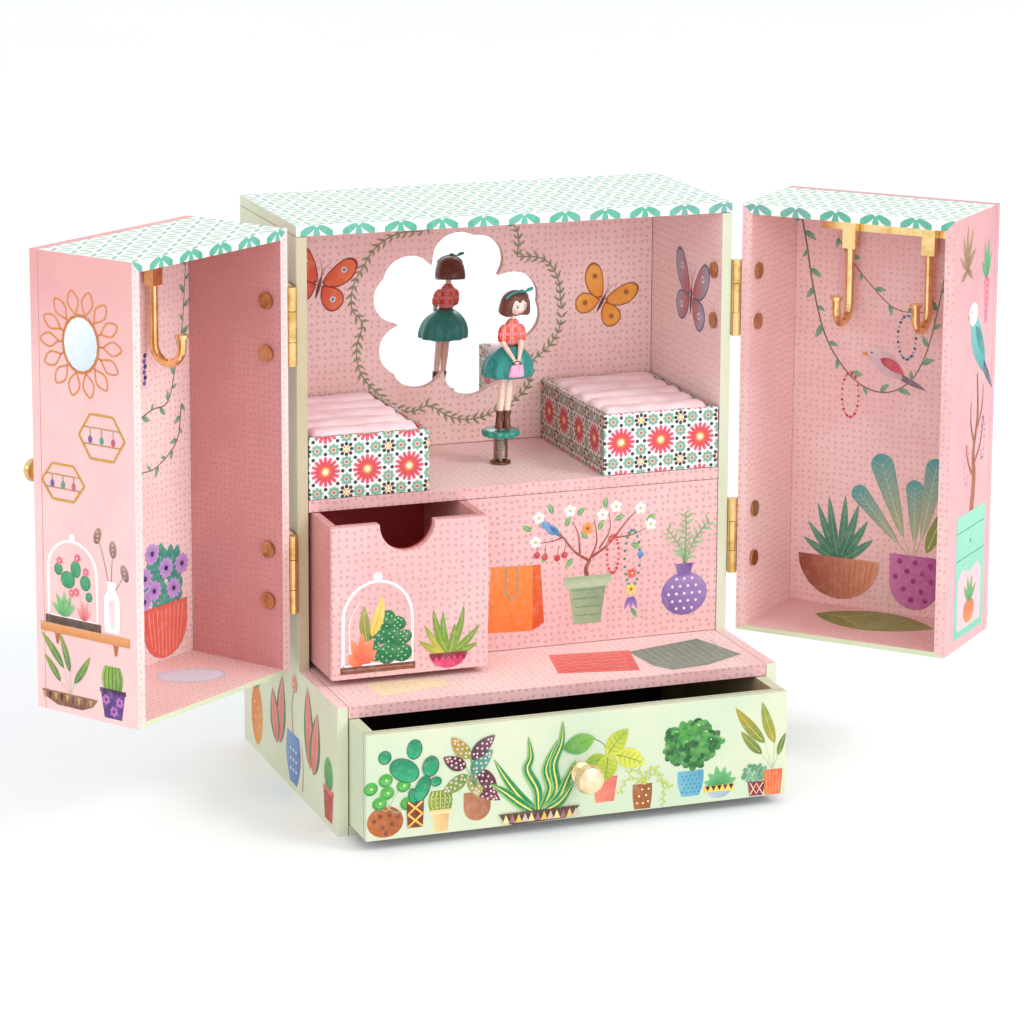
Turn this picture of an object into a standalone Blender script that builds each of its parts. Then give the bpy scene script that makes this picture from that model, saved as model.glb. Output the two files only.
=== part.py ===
"""Ballerina jewellery box: a paper-covered board wardrobe with two hollow doors, two drawers,
ring trays and a wind-up music movement that turns a small figurine in front of a mirror.

X runs to the right, Y to the back and Z up. The origin is on the floor, in the middle of the
width, in the plane of the upper cabinet's front edges. Lengths below are in millimetres.
The doors and drawers are modelled closed, and each hangs from an empty on its joint that
opens it to the rest position.
"""

import math

import bmesh
import bpy
from mathutils import Vector

MM = 0.001

# cabinet
WIDTH = 176.0
HEIGHT = 221.0
UPPER_DEPTH = 76.5
BASE_REACH = 49.0
BOARD = 4.0
GAP = 0.3
SHELF_TOP = 49.6
SHELF_THICK = 4.5
STAGE_TOP = 115.8
STAGE_THICK = 4.5
BACK_THICK = 2.4
LINING_THICK = 1.5
MIRROR_THICK = 1.0
MIRROR_HALF = 40.0
DIVIDER_X = (-20.3, -17.7)
COVER_THICK = 3.0

# doors
DOOR_GAP = 0.8
DOOR_WIDTH = 87.5
DOOR_DEPTH = 48.2
DOOR_PANEL = 3.7
DOOR_FLOOR = 2.0
DOOR_BOTTOM = 49.9
DOOR_TOP = 220.6
LEFT_OPEN_DEG = 145.0
RIGHT_OPEN_DEG = 132.5

# hinges
KNUCKLE_R = 1.9
PIN_R = 0.9
PIN_PLAY = 0.3
HINGE_LENGTH = 30.0
HINGE_HEIGHTS = {"upper": 183.3, "lower": 88.0}
LEAF_THICK = 0.8
LEAF_REACH = 10.8
RIVET_PITCH = 20.0
RIVET_IN = 6.6
RIVET_R = 1.1
RIVET_CAP_R = 3.2
RIVET_CAP_HIGH = 0.8
RIVET_HEAD_R = 1.9
RIVET_HEAD_HIGH = 0.7

# hooks and knobs
RAIL_SPAN = (15.6, 75.4)
RAIL_Z = (205.7, 210.2)
RAIL_THICK = 1.2
RAIL_SCREW_IN = 2.6
RAIL_SCREW_R = 1.7
BRACKET_HALF = 2.7
BRACKET_DEPTH = 4.4
BRACKET_DROP = 6.5
FLARE_R = 2.5
HOOK_ALONG = (28.9, 62.1)
HOOK_R = 1.7
HOOK_TOP = 205.2
HOOK_BOTTOM = 168.6
HOOK_REACH = 13.5
DOOR_KNOB_ALONG = 79.5
DOOR_KNOB_Z = 136.5
DOOR_KNOB_SIZE = 0.9
SCREW_R = 1.0
SCREW_HOLE_R = 1.3
SCREW_HEAD_R = 2.2
SCREW_HEAD_HIGH = 1.2

# drawers
BASE_DRAWER_OPEN = 20.4
BASE_DRAWER_X = 83.5
BASE_DRAWER_Z = (4.4, 44.7)
SMALL_DRAWER_OPEN = 25.0
SMALL_DRAWER_X = (-82.5, -20.8)
SMALL_DRAWER_Z = (52.3, 110.9)
DRAWER_FRONT = 3.2
TRAY_FLOOR = 2.0
TRAY_END = 1.2
BASE_TRAY_SIDE = 4.0
SMALL_TRAY_SIDE = 3.0
BASE_TRAY_BACK = 66.0
SMALL_TRAY_BACK = 68.0
NOTCH_X = -52.8
NOTCH_R = 10.9
KNOB_Z = 22.0
BASE_KNOB_SIZE = 1.15

# ring trays
TRAY_INNER_X = 35.7
TRAY_OUTER_X = 83.5
TRAY_Y = (0.3, 70.2)
TRAY_TOP = 140.0
TRAY_WALL = 2.0
ROLLS = 5
ROLL_STEPS = 6
ROLL_CREASE_DEG = 8.0
ROLL_ABOVE_TRAY = 0.5

# mirror opening: a blossom of five petals, each with two bumps
PETALS = 5
BLOSSOM = (-0.6, 168.4)
BLOSSOM_STRETCH = (1.04, 0.975)
BUMP_R = 10.7
BUMP_AT = 24.0
BUMP_SPREAD_DEG = 9.2
PETAL_R = 13.7
PETAL_AT = 18.0
FIRST_PETAL_DEG = 77.7
OUTLINE_STEPS = 120

# music movement
SPINDLE = (5.3, 34.0)
TRAIN_Z = 82.0
TOOTH = 1.0
TOOTH_ABOVE = 0.7
TOOTH_BELOW = 1.15
CYLINDER_TEETH = 32
BARREL_TEETH = 40
WHEEL_Y = (40.6, 43.6)
CYLINDER_R = 6.5
BARREL_R = 16.5
BARREL_LONG = 17.0
ARBOR_R = 1.8
PINS = 20
PIN_TURN = 2.4
PIN_ABOVE = 0.6
COMB_TEETH = 18
COMB_ROOT = -14.0
COMB_Y = (13.0, 37.0)
COMB_Z = (TRAIN_Z - 0.3, TRAIN_Z + 0.6)
COMB_SLOT_SHARE = 0.3
PLATE_Y = ((7.0, 8.5), (65.0, 66.5))
BED_LEFT = -15.5
BED_PAST_BARREL = 19.0
BED_Z = (56.0, 58.0)
FOOT_IN = 3.0
FOOT_R = 2.0
GOVERNOR_TOP = TRAIN_Z + 15.5
COCK_Y = (48.0, 52.0)
WORM_R = 1.4
PIVOT_R = 0.8
FLY_REACH = 3.0
FLY_Z = (60.5, 68.5)
KEY_HOLE_R = 2.6
KEY_HUB_R = 3.2
KEY_LONG = 10.7
KEY_WING_R = 5.6
KEY_WING_AT = 7.3
SPINDLE_R = 1.2
SPINDLE_ABOVE_STAGE = 3.2
FRICTION_R = 6.25
FRICTION_Z = (92.8, 95.2)
BUSH_R = 3.0
BUSH_FLANGE_R = 4.1

# figurine, with heights above the disc
BUSH_HIGH = 1.4
SPRING_R = 2.9
SPRING_HIGH = 9.1
DISC_R = 7.8
DISC_EDGE = 0.5
DISC_HIGH = 2.6
LEAN = 0.093
LEG_R = 3.1
ARM_R = 1.2
SKIRT = [(10.0, 20.6), (10.3, 21.8), (8.4, 27.0), (4.8, 33.0)]
SKIRT_MIDDLE = 27.0
SKIRT_ROOM_R = 3.8

LEFT, RIGHT = -1, 1


# ---------------------------------------------------------------- scene and materials


# the finish of each kind of piece: colour, roughness and metallic share
FINISHES = {
    "cream_paper": ((0.72, 0.77, 0.55), 0.65, 0.0),
    "pink_paper": ((0.84, 0.50, 0.48), 0.65, 0.0),
    "patterned_paper": ((0.86, 0.90, 0.86), 0.55, 0.0),
    "tray_paper": ((0.88, 0.70, 0.62), 0.55, 0.0),
    "satin": ((0.88, 0.55, 0.62), 0.45, 0.0),
    "mirror": ((0.95, 0.95, 0.95), 0.02, 1.0),
    "brass": ((0.83, 0.58, 0.24), 0.25, 1.0),
    "steel": ((0.55, 0.55, 0.56), 0.35, 1.0),
    "spring_steel": ((0.30, 0.25, 0.20), 0.35, 1.0),
    "teal": ((0.05, 0.33, 0.29), 0.4, 0.0),
    "resin": ((0.80, 0.55, 0.42), 0.5, 0.0),
}


def clear_scene():
    for item in list(bpy.data.objects):
        bpy.data.objects.remove(item, do_unlink=True)


def material(name, color, roughness=0.6, metallic=0.0):
    """A Principled BSDF material, made once for each name."""
    found = bpy.data.materials.get(name)
    if found:
        return found
    made = bpy.data.materials.new(name)
    made.use_nodes = True
    shader = made.node_tree.nodes["Principled BSDF"]
    shader.inputs["Base Color"].default_value = (*color, 1.0)
    shader.inputs["Roughness"].default_value = roughness
    shader.inputs["Metallic"].default_value = metallic
    return made


def finish(kind):
    return material(kind, *FINISHES[kind])


# ---------------------------------------------------------------- shapes


def from_bmesh(shape):
    """Closes a bmesh into a mesh in metres, with its faces pointing out."""
    bmesh.ops.recalc_face_normals(shape, faces=shape.faces)
    bmesh.ops.scale(shape, vec=(MM, MM, MM), verts=shape.verts)
    mesh = bpy.data.meshes.new("shape")
    shape.to_mesh(mesh)
    shape.free()
    return mesh


def block(x, y, z):
    """A box between two values on each axis."""
    shape = bmesh.new()
    bmesh.ops.create_cube(shape, size=1.0)
    for corner in shape.verts:
        for axis, (low, high) in enumerate((x, y, z)):
            corner.co[axis] = (low + high) / 2 + corner.co[axis] * (high - low)
    return from_bmesh(shape)


def prism(outline, axis, low, high):
    """A closed outline extruded along X, Y or Z. The outline holds the other two coordinates, in order."""
    shape = bmesh.new()
    corners = []
    for pair in outline:
        at = list(pair)
        at.insert("XYZ".index(axis), low)
        corners.append(shape.verts.new(at))
    face = shape.faces.new(corners)
    extruded = bmesh.ops.extrude_face_region(shape, geom=[face])
    along = Vector([float(axis == name) for name in "XYZ"]) * (high - low)
    moved = [item for item in extruded["geom"] if isinstance(item, bmesh.types.BMVert)]
    bmesh.ops.translate(shape, vec=along, verts=moved)
    bmesh.ops.triangulate(shape, faces=[f for f in shape.faces if len(f.verts) > 4])
    return from_bmesh(shape)


def circle(centre, radius, sides=24, start=0.0):
    return [
        (
            centre[0] + radius * math.cos(start + 2 * math.pi * step / sides),
            centre[1] + radius * math.sin(start + 2 * math.pi * step / sides),
        )
        for step in range(sides)
    ]


def rod(axis, centre, radius, low, high, sides=24):
    return prism(circle(centre, radius, sides), axis, low, high)


def turned(profile, centre=(0.0, 0.0), sides=24):
    """A solid turned about a vertical axis from its (radius, height) profile, bottom to top."""
    shape = bmesh.new()
    rings = []
    for radius, height in profile:
        if radius == 0.0:
            rings.append([shape.verts.new((*centre, height))])
        else:
            ring = circle(centre, radius, sides)
            rings.append([shape.verts.new((x, y, height)) for x, y in ring])
    for lower, upper in zip(rings, rings[1:]):
        for step in range(sides):
            after = (step + 1) % sides
            corners = [lower[step % len(lower)], lower[after % len(lower)]]
            corners += [upper[after % len(upper)], upper[step % len(upper)]]
            shape.faces.new(list(dict.fromkeys(corners)))
    for ring in (rings[0], rings[-1]):
        if len(ring) > 1:
            shape.faces.new(ring)
    return from_bmesh(shape)


def tube(path, radius, sides=12):
    """A round bar along a path of points, with flat ends."""
    shape = bmesh.new()
    points = [Vector(point) for point in path]
    side = None
    rings = []
    for index, point in enumerate(points):
        before = points[max(index - 1, 0)]
        after = points[min(index + 1, len(points) - 1)]
        ahead = (after - before).normalized()
        if side is None:
            side = ahead.orthogonal().normalized()
        side = (side - side.dot(ahead) * ahead).normalized()
        other = ahead.cross(side)
        rings.append(
            [
                shape.verts.new(point + radius * (math.cos(turn) * side + math.sin(turn) * other))
                for turn in [2 * math.pi * step / sides for step in range(sides)]
            ]
        )
    for lower, upper in zip(rings, rings[1:]):
        for step in range(sides):
            after = (step + 1) % sides
            shape.faces.new([lower[step], lower[after], upper[after], upper[step]])
    shape.faces.new(rings[0])
    shape.faces.new(rings[-1])
    return from_bmesh(shape)


def ball(centre, radii, rings=8, sides=16):
    """An ellipsoid."""
    shape = bmesh.new()
    bmesh.ops.create_uvsphere(shape, u_segments=sides, v_segments=rings, radius=1.0)
    for point in shape.verts:
        point.co = Vector([centre[axis] + radii[axis] * point.co[axis] for axis in range(3)])
    return from_bmesh(shape)


def gear_outline(centre, teeth, start=0.0):
    """Trapezoid teeth on a pitch circle of teeth * TOOTH across, with a little play."""
    pitch = teeth * TOOTH / 2
    step = 2 * math.pi / teeth
    outline = []
    for tooth in range(teeth):
        for radius, share in (
            (pitch - TOOTH_BELOW * TOOTH, -0.33),
            (pitch + TOOTH_ABOVE * TOOTH, -0.12),
            (pitch + TOOTH_ABOVE * TOOTH, 0.12),
            (pitch - TOOTH_BELOW * TOOTH, 0.33),
        ):
            turn = start + step * (tooth + share)
            outline.append(
                (centre[0] + radius * math.cos(turn), centre[1] + radius * math.sin(turn))
            )
    return outline


# ---------------------------------------------------------------- nodes


def helper(mesh, parent, offset):
    """A hidden operand of a Boolean modifier."""
    item = bpy.data.objects.new("helper", mesh)
    bpy.context.scene.collection.objects.link(item)
    item.parent = parent
    item.location = offset
    item.hide_render = True
    item.display_type = "WIRE"
    return item


def node(name, kind, shapes, cuts=(), parent=None, smooth=False):
    """One named solid: the first shape, joined with the others, less the cuts. Under a parent
    empty its mesh keeps the closed position's coordinates, and its offset takes the axis away."""
    offset = -parent.location if parent else Vector()
    item = bpy.data.objects.new(name, shapes[0])
    bpy.context.scene.collection.objects.link(item)
    item.parent = parent
    item.location = offset
    item.data.materials.append(finish(kind))
    operands = [(mesh, "UNION") for mesh in shapes[1:]] + [(mesh, "DIFFERENCE") for mesh in cuts]
    for mesh, operation in operands:
        boolean = item.modifiers.new(operation.lower(), "BOOLEAN")
        boolean.operation = operation
        boolean.object = helper(mesh, parent, offset)
    if smooth:
        item.data.shade_smooth()
        item.data.set_sharp_from_angle(angle=math.radians(35))
    return item


def axis_empty(name, point, turn_deg=0.0, shift=(0.0, 0.0, 0.0)):
    """An empty on a joint's axis, holding what moves. The closed pieces are placed by its location
    before it is turned or shifted to the rest position, so the two are kept apart."""
    item = bpy.data.objects.new(name, None)
    bpy.context.scene.collection.objects.link(item)
    item.location = Vector(point) * MM
    item.rotation_euler[2] = math.radians(turn_deg)
    item.delta_location = Vector(shift) * MM
    return item


# ---------------------------------------------------------------- cabinet


def inner_x(side, inset=0.0):
    return side * (WIDTH / 2 - BOARD - inset)


def span(one, other):
    return (min(one, other), max(one, other))


def rivet_spots(hinge):
    middle = HINGE_HEIGHTS[hinge]
    return [middle - RIVET_PITCH / 2, middle + RIVET_PITCH / 2]


def build_side_panels():
    for side, name in ((LEFT, "left"), (RIGHT, "right")):
        outer, inner = side * WIDTH / 2, inner_x(side)
        outline = [
            (-BASE_REACH, 0.0),
            (UPPER_DEPTH, 0.0),
            (UPPER_DEPTH, HEIGHT - BOARD - GAP),
            (0.0, HEIGHT - BOARD - GAP),
            (0.0, SHELF_TOP),
            (-BASE_REACH, SHELF_TOP),
        ]
        cuts = [
            rod("X", (RIVET_IN, height), RIVET_R + GAP, *span(inner - side, outer + side), sides=12)
            for hinge in HINGE_HEIGHTS
            for height in rivet_spots(hinge)
        ]
        node(f"{name}_side_panel", "cream_paper", [prism(outline, "X", *span(inner, outer))], cuts)


def build_boards():
    across = (-inner_x(RIGHT, GAP), inner_x(RIGHT, GAP))
    behind = UPPER_DEPTH - BACK_THICK
    node("top_panel", "patterned_paper",
         [block((-WIDTH / 2, WIDTH / 2), (0.0, UPPER_DEPTH), (HEIGHT - BOARD, HEIGHT))])
    key_hole = rod("Y", (barrel_x(), TRAIN_Z), KEY_HOLE_R, behind - 1, UPPER_DEPTH + 1)
    node("back_panel", "cream_paper",
         [block(across, (behind, UPPER_DEPTH), (BOARD + GAP, HEIGHT - BOARD - GAP))], [key_hole])
    node("base_floor", "cream_paper",
         [block(across, (-BASE_REACH, UPPER_DEPTH), (0.0, BOARD))])
    node("base_shelf", "pink_paper",
         [block(across, (-BASE_REACH, behind - GAP), (SHELF_TOP - SHELF_THICK, SHELF_TOP))])
    bush_hole = rod("Z", SPINDLE, BUSH_R + GAP, STAGE_TOP - STAGE_THICK - 1, STAGE_TOP + 1)
    node("stage_board", "pink_paper",
         [block(across, (0.0, behind - GAP), (STAGE_TOP - STAGE_THICK, STAGE_TOP))], [bush_hole])
    under_stage = (SHELF_TOP + GAP, STAGE_TOP - STAGE_THICK - GAP)
    node("compartment_divider", "pink_paper",
         [block(DIVIDER_X, (COVER_THICK + 2 * GAP, behind - GAP), under_stage)])
    node("music_cover_panel", "pink_paper",
         [block((DIVIDER_X[0], across[1]), (GAP, COVER_THICK), under_stage)])


def blossom_outline():
    """The outline of three overlapping circles per petal, read along rays from the middle."""
    circles = []
    for petal in range(PETALS):
        for radius, away, spread in ((PETAL_R, PETAL_AT, 0.0), (BUMP_R, BUMP_AT, -BUMP_SPREAD_DEG),
                                     (BUMP_R, BUMP_AT, BUMP_SPREAD_DEG)):
            turn = math.radians(FIRST_PETAL_DEG + 360 / PETALS * petal + spread)
            circles.append((away * math.cos(turn), away * math.sin(turn), radius))
    outline = []
    for step in range(OUTLINE_STEPS):
        turn = 2 * math.pi * step / OUTLINE_STEPS
        ray = (math.cos(turn), math.sin(turn))
        reach = 0.0
        for x, z, radius in circles:
            along = x * ray[0] + z * ray[1]
            off = abs(x * ray[1] - z * ray[0])
            if off < radius and along > 0:
                reach = max(reach, along + math.sqrt(radius**2 - off**2))
        outline.append(tuple(BLOSSOM[i] + BLOSSOM_STRETCH[i] * reach * ray[i] for i in (0, 1)))
    return outline


def build_mirror():
    behind = UPPER_DEPTH - BACK_THICK - GAP
    front = behind - MIRROR_THICK
    node("mirror", "mirror",
         [block((-MIRROR_HALF, MIRROR_HALF), (front, behind),
                (BLOSSOM[1] - MIRROR_HALF, BLOSSOM[1] + MIRROR_HALF))])
    lining = (front - GAP - LINING_THICK, front - GAP)
    opening = prism(blossom_outline(), "Y", lining[0] - 1, lining[1] + 1)
    across = (-inner_x(RIGHT, GAP), inner_x(RIGHT, GAP))
    node("back_lining", "pink_paper",
         [block(across, lining, (STAGE_TOP + GAP, HEIGHT - BOARD - GAP))], [opening])


def build_ring_trays():
    for side, name in ((LEFT, "left"), (RIGHT, "right")):
        across = span(side * TRAY_INNER_X, side * TRAY_OUTER_X)
        bottom = STAGE_TOP + GAP
        hollow = block((across[0] + TRAY_WALL, across[1] - TRAY_WALL),
                       (TRAY_Y[0] + TRAY_WALL, TRAY_Y[1] - TRAY_WALL),
                       (bottom + TRAY_WALL, TRAY_TOP + 1))
        node(f"{name}_ring_tray", "tray_paper", [block(across, TRAY_Y, (bottom, TRAY_TOP))], [hollow])
        build_ring_rolls(name, (across[0] + TRAY_WALL + GAP, across[1] - TRAY_WALL - GAP),
                         bottom + TRAY_WALL + GAP)


def build_ring_rolls(name, across, bottom):
    """Padded rolls side by side, one round top after another from front to back."""
    front, back = TRAY_Y[0] + TRAY_WALL + GAP, TRAY_Y[1] - TRAY_WALL - GAP
    pitch = (back - front) / ROLLS
    crown = TRAY_TOP + ROLL_ABOVE_TRAY - pitch / 2
    outline = [(front, bottom), (back, bottom)]
    for roll in reversed(range(ROLLS)):
        middle = front + pitch * (roll + 0.5)
        for step in range(ROLL_STEPS + 1):
            turn = math.radians(ROLL_CREASE_DEG + (180 - 2 * ROLL_CREASE_DEG) * step / ROLL_STEPS)
            outline.append((middle + pitch / 2 * math.cos(turn), crown + pitch / 2 * math.sin(turn)))
    node(f"{name}_ring_rolls", "satin", [prism(outline, "X", *across)])


# ---------------------------------------------------------------- hinges


def hinge_axis(side):
    return (side * (WIDTH / 2 + KNUCKLE_R + 0.1), -DOOR_GAP / 2)


def knuckle_edges(hinge):
    """The heights that part the three knuckles, with the middle one on the door's leaf."""
    low = HINGE_HEIGHTS[hinge] - HINGE_LENGTH / 2
    return [low + HINGE_LENGTH * share for share in (0.0, 0.3, 0.7, 1.0)]


def leaf_shapes(side, hinge, forward, caps):
    """A leaf's plate and rivets on the outer face of a wall. forward is -1 on the door, 1 on the cabinet."""
    low, high = knuckle_edges(hinge)[0], knuckle_edges(hinge)[-1]
    outer = side * (WIDTH / 2 + GAP)
    edge = -DOOR_GAP / 2 + forward * (KNUCKLE_R + 0.2)
    far = -DOOR_GAP / 2 + forward * LEAF_REACH
    plate = block(span(outer, outer + side * LEAF_THICK), span(edge, far), (low, high))
    spot = RIVET_IN if forward > 0 else -DOOR_GAP - RIVET_IN
    inside = inner_x(side) + side * 0.6
    shapes = [plate]
    for height in rivet_spots(hinge):
        shapes.append(rod("X", (spot, height), RIVET_R, *span(outer + side * 0.2, inside), sides=12))
        head = span(outer + side * 0.4, outer + side * (LEAF_THICK + RIVET_HEAD_HIGH))
        shapes.append(rod("X", (spot, height), RIVET_HEAD_R, *head, sides=12))
        if caps:
            cap = span(inner_x(side, GAP), inner_x(side, GAP + RIVET_CAP_HIGH))
            shapes.append(rod("X", (spot, height), RIVET_CAP_R, *cap, sides=16))
            shapes.append(rod("X", (spot, height), RIVET_R, *span(inside + side, cap[0] + 0.4), sides=12))
    return shapes


def link_plate(side, forward, low, high):
    """The strip that rolls from the plate into a knuckle."""
    outer = side * (WIDTH / 2 + GAP)
    edge = -DOOR_GAP / 2 + forward * (KNUCKLE_R + 0.4)
    start = -DOOR_GAP / 2 + forward * (PIN_R + PIN_PLAY + 0.1)
    return block(span(outer, outer + side * LEAF_THICK), span(edge, start), (low, high))


def build_cabinet_leaf(side, name, hinge):
    """The fixed leaf, with the pin and the outer two knuckles."""
    edges = knuckle_edges(hinge)
    shapes = leaf_shapes(side, hinge, 1, caps=hinge == "upper")
    centre = hinge_axis(side)
    shapes.append(rod("Z", centre, PIN_R, edges[0] + 1, edges[3] - 1, sides=16))
    for low, high in ((edges[0], edges[1]), (edges[2], edges[3])):
        shapes.append(rod("Z", centre, KNUCKLE_R, low, high, sides=20))
        shapes.append(link_plate(side, 1, low, high))
    node(f"{name}_{hinge}_cabinet_leaf", "brass", shapes)


def build_door_leaf(side, name, hinge, door):
    """The swinging leaf, with the middle knuckle bored for the pin."""
    edges = knuckle_edges(hinge)
    low, high = edges[1] + GAP, edges[2] - GAP
    centre = hinge_axis(side)
    shapes = leaf_shapes(side, hinge, -1, caps=True)
    shapes.append(rod("Z", centre, KNUCKLE_R, low, high, sides=20))
    shapes.append(link_plate(side, -1, low, high))
    bore = rod("Z", centre, PIN_R + PIN_PLAY, edges[0] - 1, edges[3] + 1, sides=16)
    node(f"{name}_{hinge}_door_leaf", "brass", shapes, [bore], parent=door)


# ---------------------------------------------------------------- doors


def build_door(side, name, open_deg):
    door = axis_empty(f"{name}_door_axis", (*hinge_axis(side), 0.0), side * open_deg)
    hinge_face = side * WIDTH / 2
    free_face = hinge_face - side * DOOR_WIDTH

    def along(distance):
        """How far from the hinge side, measured across the door."""
        return hinge_face - side * distance

    rim, inside, front = -DOOR_GAP, -DOOR_GAP - DOOR_DEPTH + DOOR_PANEL + GAP, -DOOR_GAP - DOOR_DEPTH
    hollow = block(span(along(BOARD), along(DOOR_WIDTH - BOARD)), (inside - 1, rim + 1),
                   (DOOR_BOTTOM + DOOR_FLOOR, DOOR_TOP - BOARD))
    rivet_holes = [
        rod("X", (rim - RIVET_IN, height), RIVET_R + GAP, *span(along(-1.0), along(BOARD + 1.0)), sides=12)
        for hinge in HINGE_HEIGHTS
        for height in rivet_spots(hinge)
    ]
    node(f"{name}_door_frame", "pink_paper",
         [block(span(hinge_face, free_face), (inside, rim), (DOOR_BOTTOM, DOOR_TOP))],
         [hollow, *rivet_holes], parent=door)
    panel = (front, front + DOOR_PANEL)
    bolt_hole = rod("Y", (along(DOOR_KNOB_ALONG), DOOR_KNOB_Z), SCREW_HOLE_R, panel[0] - 1, panel[1] + 1,
                    sides=12)
    node(f"{name}_door_panel", "cream_paper",
         [block(span(hinge_face, free_face), panel, (DOOR_BOTTOM, DOOR_TOP))],
         [bolt_hole], parent=door)
    build_knob(f"{name}_door_knob", (along(DOOR_KNOB_ALONG), front, DOOR_KNOB_Z), DOOR_PANEL,
               DOOR_KNOB_SIZE, door)
    build_hooks(name, along, panel[1], door)
    for hinge in HINGE_HEIGHTS:
        build_cabinet_leaf(side, name, hinge)
        build_door_leaf(side, name, hinge, door)


def build_hooks(name, along, wall, door):
    """A flat rail near the top, a bracket on it for each hook, and a J hook with a flared tip."""
    middle = sum(RAIL_Z) / 2
    rail_front = wall + GAP + RAIL_THICK
    shapes = [block(span(along(RAIL_SPAN[0]), along(RAIL_SPAN[1])), (wall + GAP, rail_front), RAIL_Z)]
    for end in RAIL_SPAN:
        inward = RAIL_SCREW_IN if end < DOOR_WIDTH / 2 else -RAIL_SCREW_IN
        shapes.append(rod("Y", (along(end + inward), middle), RAIL_SCREW_R,
                          rail_front - 0.4, rail_front + 0.7, sides=12))
    node(f"{name}_hook_rail", "brass", shapes, parent=door)
    for number, distance in enumerate(HOOK_ALONG, start=1):
        x = along(distance)
        shank_y = rail_front + GAP + BRACKET_DEPTH / 2
        radius = HOOK_REACH / 2
        path = [(x, shank_y, HOOK_TOP), (x, shank_y, (HOOK_TOP + HOOK_BOTTOM) / 2)]
        for step in range(11):
            turn = math.pi * step / 10
            path.append((x, shank_y + radius * (1 - math.cos(turn)),
                         HOOK_BOTTOM + HOOK_R + radius * (1 - math.sin(turn))))
        tip = (x, shank_y + HOOK_REACH)
        path.append((*tip, HOOK_BOTTOM + HOOK_R + radius + 4.0))
        bracket = block((x - BRACKET_HALF, x + BRACKET_HALF),
                        (rail_front + GAP, rail_front + GAP + BRACKET_DEPTH),
                        (RAIL_Z[0] - BRACKET_DROP, RAIL_Z[1] + 0.4))
        flare = rod("Z", tip, FLARE_R, path[-1][2] - 0.5, path[-1][2] + 0.9, sides=16)
        node(f"{name}_hook_{number}", "brass", [bracket, tube(path, HOOK_R), flare],
             parent=door, smooth=True)


def build_knob(name, seat, panel, size, parent):
    """A turned knob on a front, with its screw and the screw's head behind the panel."""
    x, y, z = seat
    profile = [
        (3.6, GAP), (3.6, 1.2), (1.9, 2.0), (1.7, 5.2), (2.6, 6.2),
        (4.6, 7.0), (5.0, 8.4), (4.2, 10.0), (2.2, 11.0), (0.0, 11.3),
    ]
    knob = turned([(size * radius, size * (height - GAP) + GAP) for radius, height in profile])
    for point in knob.vertices:
        across, up, out = point.co
        point.co = Vector((x * MM + across, y * MM - out, z * MM + up))
    behind = y + panel + GAP
    screw = rod("Y", (x, z), SCREW_R, y - 0.8, behind + SCREW_HEAD_HIGH / 2, sides=12)
    head = rod("Y", (x, z), SCREW_HEAD_R, behind, behind + SCREW_HEAD_HIGH, sides=16)
    node(name, "brass", [knob, screw, head], parent=parent, smooth=True)


# ---------------------------------------------------------------- drawers


def drawer_tray(name, across, along, height, side_wall, parent, cuts):
    """An open box behind a drawer's front, as high as the front, with thick sides and thin ends."""
    hollow = block((across[0] + side_wall, across[1] - side_wall),
                   (along[0] + TRAY_END, along[1] - TRAY_END),
                   (height[0] + TRAY_FLOOR, height[1] + 1))
    node(name, "pink_paper", [block(across, along, height)], [hollow, *cuts], parent=parent)


def build_base_drawer():
    drawer = axis_empty("base_drawer_axis", (0.0, -BASE_REACH, KNOB_Z), shift=(0.0, -BASE_DRAWER_OPEN, 0.0))
    across = (-BASE_DRAWER_X, BASE_DRAWER_X)
    front = (-BASE_REACH, -BASE_REACH + DRAWER_FRONT)
    tray = (front[1] + GAP, BASE_TRAY_BACK)
    bolt_holes = [
        rod("Y", (0.0, KNOB_Z), SCREW_HOLE_R, face - 1, face + DRAWER_FRONT + 1, sides=12)
        for face in (front[0], tray[0])
    ]
    node("base_drawer_front", "cream_paper", [block(across, front, BASE_DRAWER_Z)], bolt_holes[:1],
         parent=drawer)
    drawer_tray("base_drawer_tray", across, tray, BASE_DRAWER_Z, BASE_TRAY_SIDE, drawer, bolt_holes[1:])
    build_knob("base_drawer_knob", (0.0, front[0], KNOB_Z), tray[0] + TRAY_END - front[0],
               BASE_KNOB_SIZE, drawer)


def build_small_drawer():
    middle = sum(SMALL_DRAWER_X) / 2
    drawer = axis_empty("small_drawer_axis", (middle, GAP, SMALL_DRAWER_Z[0]),
                        shift=(0.0, -SMALL_DRAWER_OPEN, 0.0))
    front = (GAP, GAP + COVER_THICK)
    tray = (front[1] + GAP, SMALL_TRAY_BACK)
    notches = [
        rod("Y", (NOTCH_X, SMALL_DRAWER_Z[1]), NOTCH_R, *ends, sides=40)
        for ends in ((front[0] - 1, front[1] + 1), (tray[0] - 1, tray[0] + TRAY_END + 1))
    ]
    node("small_drawer_front", "pink_paper", [block(SMALL_DRAWER_X, front, SMALL_DRAWER_Z)],
         notches[:1], parent=drawer)
    drawer_tray("small_drawer_tray", SMALL_DRAWER_X, tray, SMALL_DRAWER_Z, SMALL_TRAY_SIDE, drawer,
                notches[1:])


# ---------------------------------------------------------------- music movement


def barrel_x():
    return SPINDLE[0] + (CYLINDER_TEETH + BARREL_TEETH) * TOOTH / 2


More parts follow.
